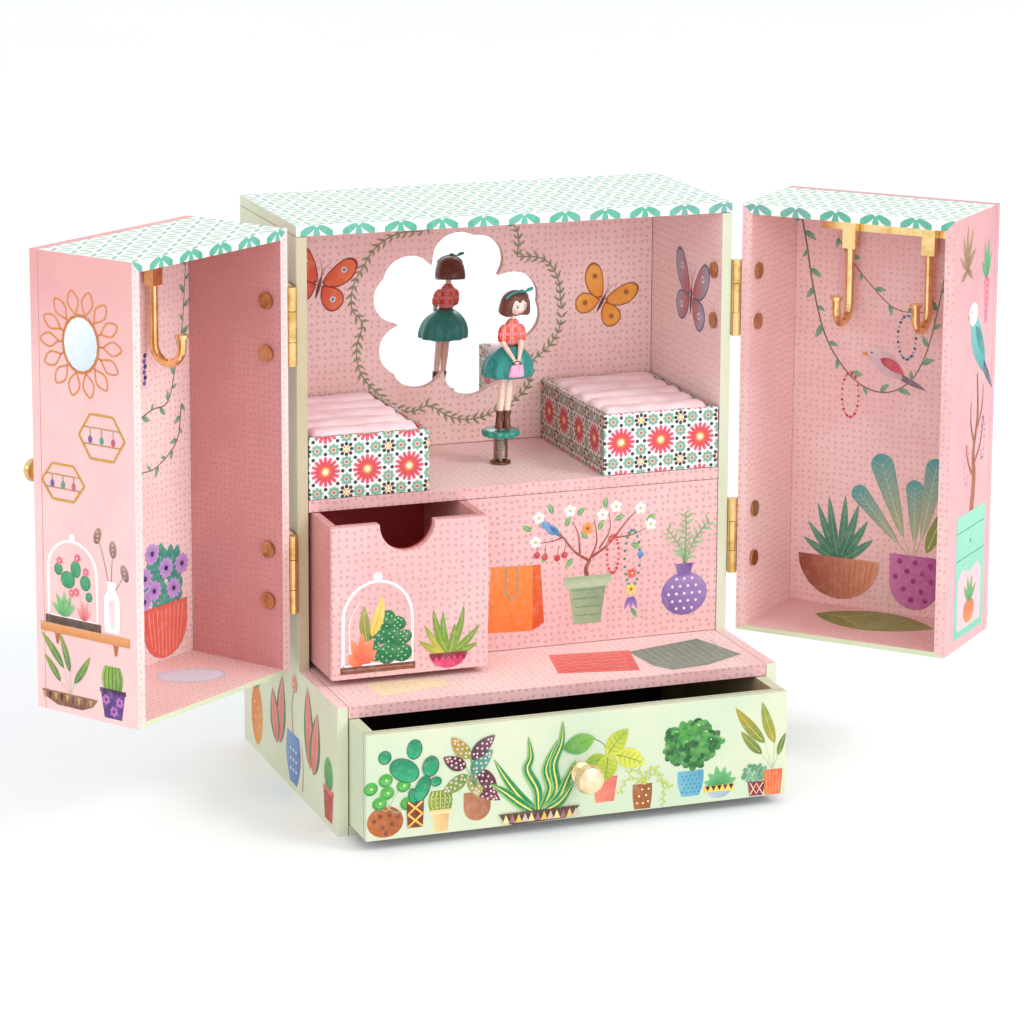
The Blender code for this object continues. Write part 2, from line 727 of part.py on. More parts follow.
def build_movement_frame():
    """A bedplate on four feet with an upright plate at each end, a seat for the comb and a cock
    that holds the governor's top pivot."""
    left, right = BED_LEFT, barrel_x() + BED_PAST_BARREL
    shapes = [block((left, right), (PLATE_Y[0][0] - 0.5, PLATE_Y[1][1] + 0.5), BED_Z)]
    for x in (left + FOOT_IN, right - FOOT_IN):
        for y in (PLATE_Y[0][1] + FOOT_IN, PLATE_Y[1][0] - FOOT_IN):
            shapes.append(rod("Z", (x, y), FOOT_R, SHELF_TOP + GAP, BED_Z[0] + 1, sides=12))
    above_bed = BED_Z[0] + 1
    cuts = []
    for low, high in PLATE_Y:
        shapes.append(block((SPINDLE[0] - 7.0, right - 4.0), (low, high), (above_bed, TRAIN_Z + 7.0)))
        for x in (SPINDLE[0], barrel_x()):
            cuts.append(rod("Y", (x, TRAIN_Z), ARBOR_R + GAP, low - 1, high + 1, sides=16))
    shapes.append(block((left + 0.5, left + 7.0), (COMB_Y[0] - 1, COMB_Y[1] + 1),
                        (above_bed, COMB_Z[0] - GAP)))
    governor_x, governor_y = governor_at()
    cock_x = (governor_x - 1.8, governor_x + 2.5)
    shapes.append(block(cock_x, COCK_Y, (above_bed, GOVERNOR_TOP + 2.0)))
    shapes.append(block((cock_x[0] + 0.1, cock_x[1] - 0.1), (governor_y - 2.0, COCK_Y[1] - 0.5),
                        (GOVERNOR_TOP, GOVERNOR_TOP + 1.5)))
    node("movement_frame", "brass", shapes, cuts)


def governor_at():
    """Beside the cylinder's wheel, just clear of its teeth."""
    reach = CYLINDER_TEETH * TOOTH / 2 + TOOTH_ABOVE * TOOTH
    return (SPINDLE[0] - reach - 0.4 - WORM_R, sum(WHEEL_Y) / 2)


def build_comb():
    """A flat steel comb whose teeth end just short of the cylinder's pins, the longest at the front."""
    tip = SPINDLE[0] - CYLINDER_R - PIN_ABOVE - 0.5
    pitch = (COMB_Y[1] - COMB_Y[0]) / COMB_TEETH
    outline = [(COMB_ROOT, COMB_Y[0]), (COMB_ROOT, COMB_Y[1])]
    for tooth in reversed(range(COMB_TEETH)):
        low = COMB_Y[0] + pitch * tooth
        edge = low + pitch * COMB_SLOT_SHARE
        slot = COMB_ROOT + 5.0 + 2.0 * tooth / COMB_TEETH
        outline += [(tip, low + pitch), (tip, edge), (slot, edge), (slot, low)]
    node("tone_comb", "steel", [prism(outline, "Z", *COMB_Z)])


def build_cylinder():
    """The pinned cylinder with its wheel, on one arbor. The wheel's front face drives the spindle."""
    axle = axis_empty("cylinder_axis", (SPINDLE[0], WHEEL_Y[0], TRAIN_Z))
    centre = (SPINDLE[0], TRAIN_Z)
    shapes = [
        prism(gear_outline(centre, CYLINDER_TEETH), "Y", *WHEEL_Y),
        rod("Y", centre, CYLINDER_R, COMB_Y[0] - 2.0, WHEEL_Y[0] + 1, sides=32),
        rod("Y", centre, ARBOR_R, PLATE_Y[0][0] - 0.5, PLATE_Y[1][1] + 0.5, sides=16),
    ]
    reach = CYLINDER_R + PIN_ABOVE
    for pin in range(PINS):
        turn = PIN_TURN * pin
        y = COMB_Y[0] + 0.6 + (COMB_Y[1] - COMB_Y[0] - 1.2) * pin / (PINS - 1)
        end = (SPINDLE[0] + reach * math.cos(turn), y, TRAIN_Z + reach * math.sin(turn))
        shapes.append(tube([(SPINDLE[0], y, TRAIN_Z), end], 0.35, sides=4))
    node("music_cylinder", "brass", shapes, parent=axle)


def build_barrel():
    """The mainspring barrel and its wheel on the winding arbor, and the key behind the back panel."""
    axle = axis_empty("barrel_axis", (barrel_x(), WHEEL_Y[0], TRAIN_Z))
    centre = (barrel_x(), TRAIN_Z)
    half_tooth = math.pi / BARREL_TEETH
    shapes = [
        prism(gear_outline(centre, BARREL_TEETH, math.pi + half_tooth), "Y", *WHEEL_Y),
        rod("Y", centre, BARREL_R, WHEEL_Y[1] - 1, WHEEL_Y[1] + BARREL_LONG, sides=32),
        rod("Y", centre, ARBOR_R, PLATE_Y[0][0] - 0.5, UPPER_DEPTH + 2.0, sides=16),
    ]
    node("spring_barrel", "steel", shapes, parent=axle)
    start = UPPER_DEPTH + 2.0 + GAP
    wing_y = (start + 5.7, start + 7.7)
    shapes = [rod("Y", centre, KEY_HUB_R, start, start + KEY_LONG, sides=20)]
    holes = []
    for side in (LEFT, RIGHT):
        middle = (barrel_x() + side * KEY_WING_AT, TRAIN_Z)
        shapes.append(rod("Y", middle, KEY_WING_R, *wing_y, sides=20))
        holes.append(rod("Y", middle, KEY_WING_R / 2, wing_y[0] - 1, wing_y[1] + 1, sides=16))
    node("winding_key", "brass", shapes, holes, parent=axle, smooth=True)


def build_governor():
    """An upright worm beside the cylinder's wheel with a two-bladed air brake at its foot."""
    x, y = governor_at()
    axle = axis_empty("governor_axis", (x, y, TRAIN_Z))
    shapes = [
        rod("Z", (x, y), PIVOT_R, BED_Z[1] + GAP, GOVERNOR_TOP - GAP, sides=12),
        rod("Z", (x, y), WORM_R, TRAIN_Z - 8.0, TRAIN_Z + 8.0, sides=16),
        block((x - FLY_REACH, x + FLY_REACH), (y - 0.4, y + 0.4), FLY_Z),
    ]
    node("governor_fly", "steel", shapes, parent=axle)


def build_spindle():
    """The upright spindle with its rubber-rimmed friction disc, in the stage's bush."""
    shapes = [
        rod("Z", SPINDLE, SPINDLE_R, FRICTION_Z[0] - 0.8, STAGE_TOP + SPINDLE_ABOVE_STAGE, sides=16),
        rod("Z", SPINDLE, FRICTION_R, *FRICTION_Z, sides=32),
    ]
    axle = axis_empty("spindle_axis", (*SPINDLE, STAGE_TOP))
    node("spindle", "steel", shapes, parent=axle)
    bush = turned([
        (BUSH_R, STAGE_TOP - STAGE_THICK - 0.5), (BUSH_R, STAGE_TOP + GAP), (BUSH_FLANGE_R, STAGE_TOP + GAP),
        (BUSH_FLANGE_R, STAGE_TOP + 1.0), (BUSH_FLANGE_R - 0.7, STAGE_TOP + BUSH_HIGH),
    ], SPINDLE, 24)
    bore = rod("Z", SPINDLE, SPINDLE_R + GAP, STAGE_TOP - 10, STAGE_TOP + 10, sides=16)
    node("spindle_bush", "steel", [bush], [bore])
    return axle


# ---------------------------------------------------------------- figurine


def build_figurine(axle):
    """The figurine stands on a disc on a close-wound spring, and leans a little to the right."""
    x, y = SPINDLE
    low = STAGE_TOP + BUSH_HIGH + GAP
    high = low + SPRING_HIGH
    spring = rod("Z", SPINDLE, SPRING_R, low, high)
    bore = rod("Z", SPINDLE, SPINDLE_R + GAP, low - 1, high + 1, sides=16)
    node("figurine_spring", "spring_steel", [spring], [bore], parent=axle)
    foot = high + GAP
    ground = foot + DISC_HIGH
    rim = (DISC_R - DISC_EDGE, DISC_R)
    disc = turned([(rim[0], foot), (rim[1], foot + 0.8), (rim[1], ground - 0.6), (rim[0], ground)],
                  SPINDLE, 32)
    node("figurine_disc", "teal", [disc], parent=axle)
    ground += GAP

    def at(height, aside=0.0, ahead=0.0):
        """A point at a height above the disc, beside or in front of the leaning body's middle."""
        return (x + LEAN * height + aside, y - ahead, ground + height)

    shapes = [
        tube([at(1.0), at(9.0), at(36.0)], LEG_R, 16),
        ball(at(2.4), (3.9, 4.2, 2.4)),
        ball(at(38.0), (4.2, 3.2, 6.6)),
        ball(at(43.4), (2.6, 2.4, 5.0)),
        ball(at(49.5), (6.2, 5.8, 6.9)),
    ]
    for side in (LEFT, RIGHT):
        arm = [at(41.0, side * 4.0, 0.5), at(35.0, side * 5.0, 4.6), at(29.0, side * 0.9, 10.2)]
        shapes.append(tube(arm, ARM_R, 8))
    node("figurine", "resin", shapes, parent=axle, smooth=True)
    middle = at(SKIRT_MIDDLE)[:2]
    skirt = turned([(radius, ground + height) for radius, height in SKIRT], middle, 28)
    room = rod("Z", middle, SKIRT_ROOM_R, ground + SKIRT[0][1] - 1, ground + SKIRT[-1][1] + 1)
    node("figurine_skirt", "teal", [skirt], [room], parent=axle)


def main():
    clear_scene()
    build_side_panels()
    build_boards()
    build_mirror()
    build_ring_trays()
    build_door(LEFT, "left", LEFT_OPEN_DEG)
    build_door(RIGHT, "right", RIGHT_OPEN_DEG)
    build_base_drawer()
    build_small_drawer()
    build_movement_frame()
    build_comb()
    build_cylinder()
    build_barrel()
    build_governor()
    build_figurine(build_spindle())


main()
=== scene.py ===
from math import acos, atan2, cos, degrees, exp, pi, radians, sin, sqrt

import bmesh
import bpy
import numpy as np
from mathutils import Matrix, Vector, noise


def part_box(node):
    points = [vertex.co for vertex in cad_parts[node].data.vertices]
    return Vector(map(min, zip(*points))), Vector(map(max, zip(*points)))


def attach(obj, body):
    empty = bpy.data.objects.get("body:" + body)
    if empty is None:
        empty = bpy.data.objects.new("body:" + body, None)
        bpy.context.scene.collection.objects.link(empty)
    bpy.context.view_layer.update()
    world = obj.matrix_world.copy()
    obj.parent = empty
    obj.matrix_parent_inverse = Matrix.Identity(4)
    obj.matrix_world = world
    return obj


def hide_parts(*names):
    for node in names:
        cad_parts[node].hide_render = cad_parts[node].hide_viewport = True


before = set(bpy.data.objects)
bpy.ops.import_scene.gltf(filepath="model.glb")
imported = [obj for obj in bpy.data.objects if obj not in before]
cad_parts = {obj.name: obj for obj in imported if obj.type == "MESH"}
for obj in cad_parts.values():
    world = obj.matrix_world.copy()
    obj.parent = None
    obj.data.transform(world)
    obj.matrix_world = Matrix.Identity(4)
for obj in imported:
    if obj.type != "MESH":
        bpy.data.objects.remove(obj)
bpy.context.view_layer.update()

MM = 0.001
TO_MM = (1000.0,) * 3
SIDE = {"left": -1, "right": 1}
HINGE = {side: (90.0 * MM * sign, -0.4 * MM) for side, sign in SIDE.items()}
OPEN_ANGLE = {"left": radians(-145.0), "right": radians(132.5)}

bpy.context.scene.view_settings.view_transform = "Standard"


def circle(count):
    """Evenly spaced angles around a full turn."""
    return np.linspace(0, 2 * pi, count, endpoint=False)


def linked(name, data):
    """A new object, linked to the scene."""
    made = bpy.data.objects.new(name, data)
    bpy.context.scene.collection.objects.link(made)
    return made



# ---------------------------------------------------------------- shader tools


def tint(code):
    """A hex colour as linear RGBA."""
    parts = [int(code[i : i + 2], 16) / 255 for i in (1, 3, 5)]
    linear = [p / 12.92 if p <= 0.04045 else ((p + 0.055) / 1.055) ** 2.4 for p in parts]
    return (*linear, 1.0)


class Shader:
    """One material's node tree. Inputs are sockets, numbers, vectors or hex colours."""

    def __init__(self, name, **constants):
        self.material = bpy.data.materials.new(name)
        self.material.use_nodes = True
        self.tree = self.material.node_tree
        self.surface = self.tree.nodes["Principled BSDF"]
        for socket, value in constants.items():
            self.feed(self.surface.inputs[socket.replace("_", " ")], value)

    def feed(self, socket, value):
        if isinstance(value, bpy.types.NodeSocket):
            self.tree.links.new(value, socket)
        elif isinstance(value, str):
            socket.default_value = tint(value)
        else:
            socket.default_value = value

    def node(self, kind, *values, **settings):
        made = self.tree.nodes.new("ShaderNode" + kind)
        for key, value in settings.items():
            setattr(made, key, value)
        for socket, value in zip([s for s in made.inputs if s.enabled], values):
            if value is not None:
                self.feed(socket, value)
        return made

    def math(self, operation, *values, clamp=False):
        return self.node("Math", *values, operation=operation, use_clamp=clamp).outputs[0]

    def times(self, one, other):
        return self.math("MULTIPLY", one, other)

    def minus(self, one, other):
        return self.math("SUBTRACT", one, other)

    def plus(self, one, other):
        return self.math("ADD", one, other)

    def absolute(self, value):
        return self.math("ABSOLUTE", value)

    def vector(self, operation, *values, out=0):
        return self.node("VectorMath", *values, operation=operation).outputs[out]

    def here(self):
        """Where the shaded point is, in the scene's own frame."""
        return self.node("TexCoord").outputs["Object"]

    def split(self, vector):
        return self.node("SeparateXYZ", vector).outputs

    def join(self, x, y, z=0.0):
        return self.node("CombineXYZ", x, y, z).outputs[0]

    def mix(self, share, first, second, blend="MIX"):
        """Mixes two colours."""
        made = self.tree.nodes.new("ShaderNodeMix")
        made.data_type, made.blend_type = "RGBA", blend
        for index, value in ((0, share), (6, first), (7, second)):
            self.feed(made.inputs[index], value)
        return made.outputs[2]

    def pick(self, share, first, second):
        """Mixes two numbers."""
        made = self.tree.nodes.new("ShaderNodeMix")
        for index, value in ((0, share), (2, first), (3, second)):
            self.feed(made.inputs[index], value)
        return made.outputs[0]

    def step(self, value, start, end):
        """0 below start, 1 above end, smooth between them."""
        made = self.node("MapRange", value, start, end, interpolation_type="SMOOTHSTEP")
        return made.outputs[0]

    def cloud(self, vector, scale, detail=3.0, rough=0.5):
        made = self.node("TexNoise")
        for name, value in (("Vector", vector), ("Scale", scale), ("Detail", detail), ("Roughness", rough)):
            self.feed(made.inputs[name], value)
        return made.outputs[0]

    def ramp(self, value, *stops):
        made = self.node("ValToRGB", value)
        steps = made.color_ramp.elements
        while len(steps) < len(stops):
            steps.new(0.5)
        for element, (place, code) in zip(steps, stops):
            element.position, element.color = place, tint(code)
        return made.outputs[0]

    def bump(self, height, strength, distance):
        made = self.node("Bump")
        for name, value in (("Strength", strength), ("Distance", distance), ("Height", height)):
            self.feed(made.inputs[name], value)
        self.feed(self.surface.inputs["Normal"], made.outputs[0])

    def colour(self, value):
        self.feed(self.surface.inputs["Base Color"], value)

    def rough(self, value, low, high):
        ranged = self.node("MapRange", value, 0.0, 1.0, low, high).outputs[0]
        self.feed(self.surface.inputs["Roughness"], ranged)


def solid_point(s, door=None):
    """The point and the face direction in the scene's frame, a door's turned back to closed."""
    coords = s.node("TexCoord").outputs
    if door is None:
        return coords["Object"], coords["Normal"]
    centre = (*HINGE[door], 0.0)
    turn = -OPEN_ANGLE[door]
    turned = []
    for value, middle in ((coords["Object"], centre), (coords["Normal"], (0.0, 0.0, 0.0))):
        made = s.node("VectorRotate", rotation_type="Z_AXIS")
        for name, given in (("Vector", value), ("Center", middle), ("Angle", turn)):
            s.feed(made.inputs[name], given)
        turned.append(made.outputs[0])
    return turned


def flat_point(s, door=None):
    """Coordinates on the face in millimetres, whichever way the board faces."""
    point, direction = solid_point(s, door)
    x, y, z = s.split(s.vector("MULTIPLY", point, TO_MM))
    ax, ay, az = s.split(s.vector("ABSOLUTE", direction))
    lying = s.math("GREATER_THAN", az, 0.72)
    sideways = s.times(s.math("GREATER_THAN", ax, ay), s.minus(1.0, lying))
    return s.join(s.pick(sideways, x, y), s.pick(lying, z, y)), point


def paper_surface(s, point):
    """Fine fibre relief and a slightly uneven satin finish."""
    fibres = s.cloud(point, 2600.0, 4.0, 0.65)
    press = s.cloud(point, 420.0, 2.0)
    s.bump(s.plus(fibres, s.times(press, 0.6)), 0.35, 0.00006)
    s.rough(press, 0.42, 0.62)


def dotted_paper(name, ground, wash, dots, pitch=2.85, size=0.235, door=None):
    """Pink paper with loosely spaced round dots."""
    s = Shader(name, Specular_IOR_Level=0.35)
    flat, point = flat_point(s, door)
    cells = s.node("TexVoronoi", voronoi_dimensions="2D")
    for key, value in (("Vector", flat), ("Scale", 1.0 / pitch), ("Randomness", 0.4)):
        s.feed(cells.inputs[key], value)
    ragged = s.times(s.minus(s.cloud(flat, 1.4, 1.0), 0.5), 0.07)
    near = s.plus(cells.outputs["Distance"], ragged)
    dot = s.minus(1.0, s.step(near, size - 0.035, size + 0.035))
    strength = s.times(dot, s.pick(s.cloud(flat, 0.35, 2.0), 0.45, 1.0))
    washed = s.mix(s.step(s.cloud(point, 16.0, 4.0, 0.6), 0.35, 0.68), ground, wash)
    s.colour(s.mix(strength, washed, dots))
    paper_surface(s, point)
    return s.material


def washed_paper(name, ground, wash, speck, door=None, high=0.0):
    """Plain paper with a watercolour wash and fine grain, deepened towards the top by high as painted shade.
    """
    s = Shader(name, Specular_IOR_Level=0.35)
    flat, point = flat_point(s, door)
    swirl = s.node("TexNoise", point, None, 30.0).outputs[1]
    drift = s.vector("ADD", point, s.vector("MULTIPLY", swirl, (0.03,) * 3))
    broad = s.step(s.cloud(drift, 22.0, 5.0, 0.62), 0.36, 0.66)
    grain = s.step(s.cloud(flat, 1.1, 3.0, 0.7), 0.52, 0.78)
    toned = s.mix(s.times(grain, 0.35), s.mix(broad, ground, wash), speck)
    # painted shade: from 140 to 230 mm up, the paper is multiplied by its wash colour, by up to high
    height = s.split(point)[2]
    s.colour(s.mix(s.times(s.step(height, 0.14, 0.23), high), toned, wash, "MULTIPLY"))
    paper_surface(s, point)
    return s.material


PETAL = 9.5  # distance between neighbouring flower middles, in mm


def petal_paper(name, shift=(0.0, 0.0), door=None, lip=False):
    """White paper with teal petals between the middles of a six-sided lattice; the lip has fans only."""
    s = Shader(name, Specular_IOR_Level=0.4)
    flat, point = flat_point(s, door)
    moved = s.vector("SUBTRACT", flat, (*shift, 0.0))
    half = (PETAL * sqrt(3) / 2, PETAL / 2, 1.0)
    low = tuple(-h for h in half)
    first = s.vector("WRAP", moved, half, low)
    second = s.vector("WRAP", s.vector("SUBTRACT", moved, (half[0], half[1], 0.0)), half, low)
    nearer = s.math("LESS_THAN", s.vector("LENGTH", second, out=1), s.vector("LENGTH", first, out=1))
    pair = [s.split(first), s.split(second)]
    x, y = (s.pick(nearer, pair[0][i], pair[1][i]) for i in (0, 1))
    away = s.vector("LENGTH", s.join(x, y), out=1)
    angle = s.minus(s.math("ARCTAN2", y, x), pi / 6)
    folded = s.math("WRAP", angle, pi / 6, -pi / 6)
    along = s.times(away, s.math("COSINE", folded))
    across = s.times(away, s.absolute(s.math("SINE", folded)))
    arm = s.join(s.minus(along, PETAL / 2), s.plus(across, PETAL * sqrt(3) / 2))
    inside = s.minus(PETAL, s.vector("LENGTH", arm, out=1))
    slim = -0.25 if lip else 0.30
    petal = s.times(s.step(inside, slim, slim + 0.18), s.step(along, 0.55, 0.8))
    if lip:
        column = s.math("WRAP", s.minus(s.split(moved)[0], half[0]), half[0], -half[0])
        upright = s.math("LESS_THAN", s.absolute(column), 1.9)
        petal = s.times(petal, s.minus(1.0, upright))
    centre = s.vector("SUBTRACT", moved, s.join(x, y))
    tone = s.node("TexWhiteNoise", s.vector("ADD", centre, (0.3, 0.7, 0.0)), noise_dimensions="2D").outputs[0]
    teal = s.ramp(tone, (0.0, "#3E9C84"), (0.5, "#57B79A"), (1.0, "#6E9FA0"))
    teal = s.mix(s.times(s.cloud(flat, 0.9, 3.0), 0.45 if lip else 0.9), teal,
                 "#8CCBB4" if lip else "#D3E4DC")
    outline = s.times(s.step(inside, -0.62, -0.5), s.step(inside, -0.3, -0.42))
    ground = s.mix(s.times(outline, 0.35), "#F6F8F1", "#EBA9A6")
    s.colour(s.mix(petal, ground, teal))
    paper_surface(s, point)
    return s.material


TILE = 16.6  # pitch of the tray paper's medallions, in mm


def medallion_paper(name, shift):
    """White paper with red sunbursts, green florets, orange crosses and dark dots; the side faces are
    darkened as painted shade.

    shift is where a medallion's middle lies: x on the front faces, y on the side faces, and z.
    """
    s = Shader(name, Specular_IOR_Level=0.4)
    flat, point = flat_point(s)
    _, direction = solid_point(s)
    ax, ay, _ = s.split(s.vector("ABSOLUTE", direction))
    across = s.pick(s.math("GREATER_THAN", ax, ay), shift[0], shift[1])
    half = (TILE / 2, TILE / 2, 1.0)
    cell = s.vector("WRAP", s.vector("SUBTRACT", flat, s.join(across, shift[2], 0.0)), half,
                    tuple(-h for h in half))
    x, y, _ = s.split(cell)
    away = s.vector("LENGTH", cell, out=1)

    def spokes(around, count):
        slice_half = pi / count
        return s.absolute(s.math("WRAP", around, slice_half, -slice_half))

    width = s.times(spokes(s.math("ARCTAN2", y, x), 16), away)
    over = s.math("MAXIMUM", s.minus(away, 5.1), 0.0)
    cap = s.math("SQRT", s.math("MAXIMUM", s.minus(0.60, s.times(over, over)), 0.0))
    petals = s.step(s.minus(cap, width), 0.0, 0.14)
    sun = s.ramp(
        s.math("DIVIDE", away, 6.0),
        (0.0, "#FFFDF0"), (0.15, "#FDEDB8"), (0.23, "#F3A45C"), (0.34, "#E25247"), (0.62, "#DA3F55"),
        (1.0, "#E0708F"),
    )
    fx, fy, _ = s.split(s.vector("ABSOLUTE", cell))
    octant = s.join(s.math("MAXIMUM", fx, fy), s.math("MINIMUM", fx, fy))

    def from_spot(u, v):
        return s.vector("SUBTRACT", octant, (u * TILE, v * TILE, 0.0))

    floret = from_spot(0.5, 0.2)
    ring = s.vector("LENGTH", floret, out=1)
    fl = s.split(floret)
    leaves = s.times(spokes(s.math("ARCTAN2", fl[1], fl[0]), 8), ring)
    leaf = s.times(s.step(leaves, 0.78, 0.58), s.step(ring, 2.7, 2.4))
    leaf_tone = s.ramp(
        s.math("DIVIDE", ring, 2.4),
        (0.0, "#C8463A"), (0.2, "#D2584A"), (0.3, "#F6E7DC"), (0.42, "#86B79E"), (0.75, "#76AA92"),
        (1.0, "#B4D4C4"),
    )
    sx, sy, _ = s.split(s.vector("ABSOLUTE", from_spot(0.5, 0.5)))
    lean, spread = s.absolute(s.minus(sx, sy)), s.plus(sx, sy)
    cross = s.times(s.step(lean, 0.75, 0.5), s.step(spread, 2.5, 2.2))
    colour = s.mix(petals, "#FBFBF6", sun)
    colour = s.mix(leaf, colour, leaf_tone)
    colour = s.mix(cross, colour, s.mix(s.step(spread, 0.4, 1.6), "#F8E39A", "#F0A25C"))
    for u, v in ((0.41, 0.0), (0.4, 0.4), (0.29, 0.29), (0.5, 0.38)):
        spot = s.vector("LENGTH", from_spot(u, v), out=1)
        colour = s.mix(s.step(spot, 0.82, 0.64), colour, "#1F2A36")
    # painted shade: the side faces are multiplied by a brown-grey
    aside = s.times(s.math("GREATER_THAN", ax, ay), 0.55)
    colour = s.mix(aside, colour, "#B79A90", "MULTIPLY")
    s.colour(s.mix(s.times(s.cloud(flat, 1.2, 3.0), 0.10), colour, "#CDB9A6"))
    paper_surface(s, point)
    return s.material


def metal(name, colour, dark, low, high, scratch=0.12):
    """Polished or aged metal: brushed grain, patches of tarnish and fine scratches."""
    s = Shader(name, Metallic=1.0)
    point = s.here()
    stretched = s.vector("MULTIPLY", point, (1.0, 1.0, 0.12))
    grain = s.cloud(stretched, 5200.0, 3.0, 0.6)
    patches = s.cloud(point, 160.0, 4.0, 0.6)
    s.colour(s.mix(s.step(patches, 0.42, 0.72), colour, dark))
    s.rough(s.plus(s.times(patches, 0.6), s.times(grain, 0.4)), low, high)
    s.bump(grain, scratch, 0.00002)
    return s.material


def mirror_glass(name):
    s = Shader(name, Metallic=1.0)
    point = s.here()
    haze = s.cloud(point, 90.0, 4.0, 0.6)
    s.colour(s.mix(s.step(haze, 0.4, 0.7), "#FDFDFC", "#F8FAFA"))
    s.rough(haze, 0.015, 0.05)
    s.bump(s.cloud(point, 40.0, 1.0), 0.02, 0.0002)
    return s.material


# ---------------------------------------------------------------- papers on the boards

PINK = dotted_paper("pink_dots", "#EEC2C0", "#E8B1B1", "#C89F9D")
# Painted light: a paler copy of the dotted paper for the inside faces and tops.
PINK_LIT = dotted_paper("pink_lit_inner_dots", "#FCE4E0", "#F9D5D2", "#E6BAB6", 2.85, 0.2)
PINK_SHADE = dotted_paper("pink_shaded_dots", "#DFA5A3", "#D69795", "#BD8B89", 2.6, 0.2)
# Painted light: a paler copy of the dotted paper for the back lining.
PINK_LIT_BACK = dotted_paper("pink_lit_lining_dots", "#FBDCD7", "#F4C9C5", "#DDB1AD", 2.8, 0.22)
# Painted shade and light inside the base drawer: a near-black copy for its inside and a tan one for its lit
# right inner wall.
DRAWER_SHADED = washed_paper("drawer_shaded_inside", "#38221C", "#2A1813", "#1C100D")
DRAWER_LIT_TAN = washed_paper("drawer_lit_tan", "#C9B68C", "#B39C70", "#8E7A54")
DRAWER_PLUM = washed_paper("drawer_plum", "#C24A48", "#AE3A3A", "#8A2628")
# Painted light: a rose copy for the small drawer's lit right inner wall.
DRAWER_LIT_ROSE = washed_paper("drawer_lit_rose", "#FBC6BE", "#F0B0AA", "#D9938E")
CREAM = washed_paper("cream_wash", "#DCDFC6", "#D3D7B8", "#C5CCA8")
# Painted shadow: a darker cream for the left side panel's upper front edge.
CREAM_SHADOW = washed_paper("cream_shadowed_edge", "#CBBFA0", "#C1B594", "#B0A480")
LIME = washed_paper("green_wash", "#D8DEC0", "#C9D8BC", "#BCCB9E")
PETALS = petal_paper("petal_paper", (0.0, 0.0))
PETAL_LIP = petal_paper("petal_lip", (2.2, 221.0), lip=True)
MEDALLIONS = {"left": medallion_paper("left_medallions", (-60.4, 27.4, 126.4)),
              "right": medallion_paper("right_medallions", (59.4, 27.4, 128.7))}
# Painted light and shade: the left door's inside paper is a lighter copy, the right door's a deeper one.
DOOR_DOTS = {
    "left": dotted_paper("left_door_dots", "#FBDDD9", "#F5D0CE", "#DEB6B2", 2.7, 0.21, "left"),
    "right": dotted_paper("right_door_dots", "#F2CBC8", "#EAB8B7", "#D8A9A6", 2.7, 0.21, "right"),
}
# Painted shade on the left door's hinge-side wall inside, painted light on the right door's.
DOOR_HINGE_SHADE_LIGHT = {
    "left": dotted_paper("left_door_hinge_shade_dots", "#D89A98", "#CD8D8B", "#BE8785", 2.4, 0.2, "left"),
    "right": dotted_paper("right_door_hinge_lit_dots", "#F9CFCB", "#F1C1BE", "#D6A5A2", 2.5, 0.2, "right"),
}
# Painted light and shade on the doors' outer faces: the left door's paper is a lighter copy and the right
# door's a deeper one, and high sets each one's painted shade towards the top.
DOOR_WASH_AND_SHADE = {
    "left": washed_paper("left_door_wash_and_shade", "#F4CFCB", "#EFC2C1", "#E3ACAE", "left", high=0.7),
    "right": washed_paper("right_door_wash_and_shade", "#E3B3B3", "#DCA5AA", "#CE9299", "right", high=0.3),
}
DOOR_LIME = {d: washed_paper(f"{d}_door_green", "#D9DFBF", "#CFD7B2", "#C0CB9E", d) for d in SIDE}
DOOR_PETALS = {d: petal_paper(f"{d}_door_petals", (0.0, 0.0), d) for d in SIDE}
DOOR_PETAL_LIP = {d: petal_paper(f"{d}_door_petal_lip", (0.0, 220.6), d, True) for d in SIDE}
BRASS = metal("brass", "#EBCB8C", "#D0A75C", 0.14, 0.3)
GOLD = metal("warm_gold", "#F0CF94", "#DDAF68", 0.1, 0.22)
BRONZE = metal("rivet_bronze", "#C79A6C", "#9A6E47", 0.2, 0.36)
STEEL = metal("bright_steel", "#C9CCD0", "#A4A8AD", 0.2, 0.38)
WIRE = metal("spring_steel", "#B5A79C", "#83776E", 0.2, 0.36)
DARK_BRASS = metal("dark_brass", "#9A7450", "#6B4C34", 0.26, 0.42)
MIRROR = mirror_glass("mirror")


def closed_frame(door, vector, is_point=True):
    """A rest-pose point or direction of a door as it is with the door closed."""
    turn = Matrix.Rotation(-OPEN_ANGLE[door], 3, "Z")
    if not is_point:
        return turn @ vector
    centre = Vector((*HINGE[door], 0.0))
    return turn @ (vector - centre) + centre


def skin(name, main, *rules, door=None, round_edges=0.0):
    """Gives a CAD node its main material, and another one wherever a rule's test holds for a face."""
    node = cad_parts[name]
    mesh = node.data
    mesh.materials.clear()
    for material in (main, *[made for _, made in rules]):
        mesh.materials.append(material)
    for face in mesh.polygons:
        face.material_index = 0
        middle, out = face.center.copy(), face.normal.copy()
        if door:
            middle, out = closed_frame(door, middle), closed_frame(door, out, False)
        middle = middle / MM
        for index, (test, _) in enumerate(rules, 1):
            if test(middle, out):
                face.material_index = index
    if round_edges:
        soften(node, round_edges)
    return node


def soften(piece, width_mm):
    """Rounds the arrises a little, so that they catch the light."""
    bevel = piece.modifiers.new("soft_arris", "BEVEL")
    bevel.width, bevel.segments = width_mm * MM, 2
    bevel.limit_method, bevel.angle_limit = "ANGLE", radians(40)
    bevel.harden_normals = True
    piece.data.shade_smooth()


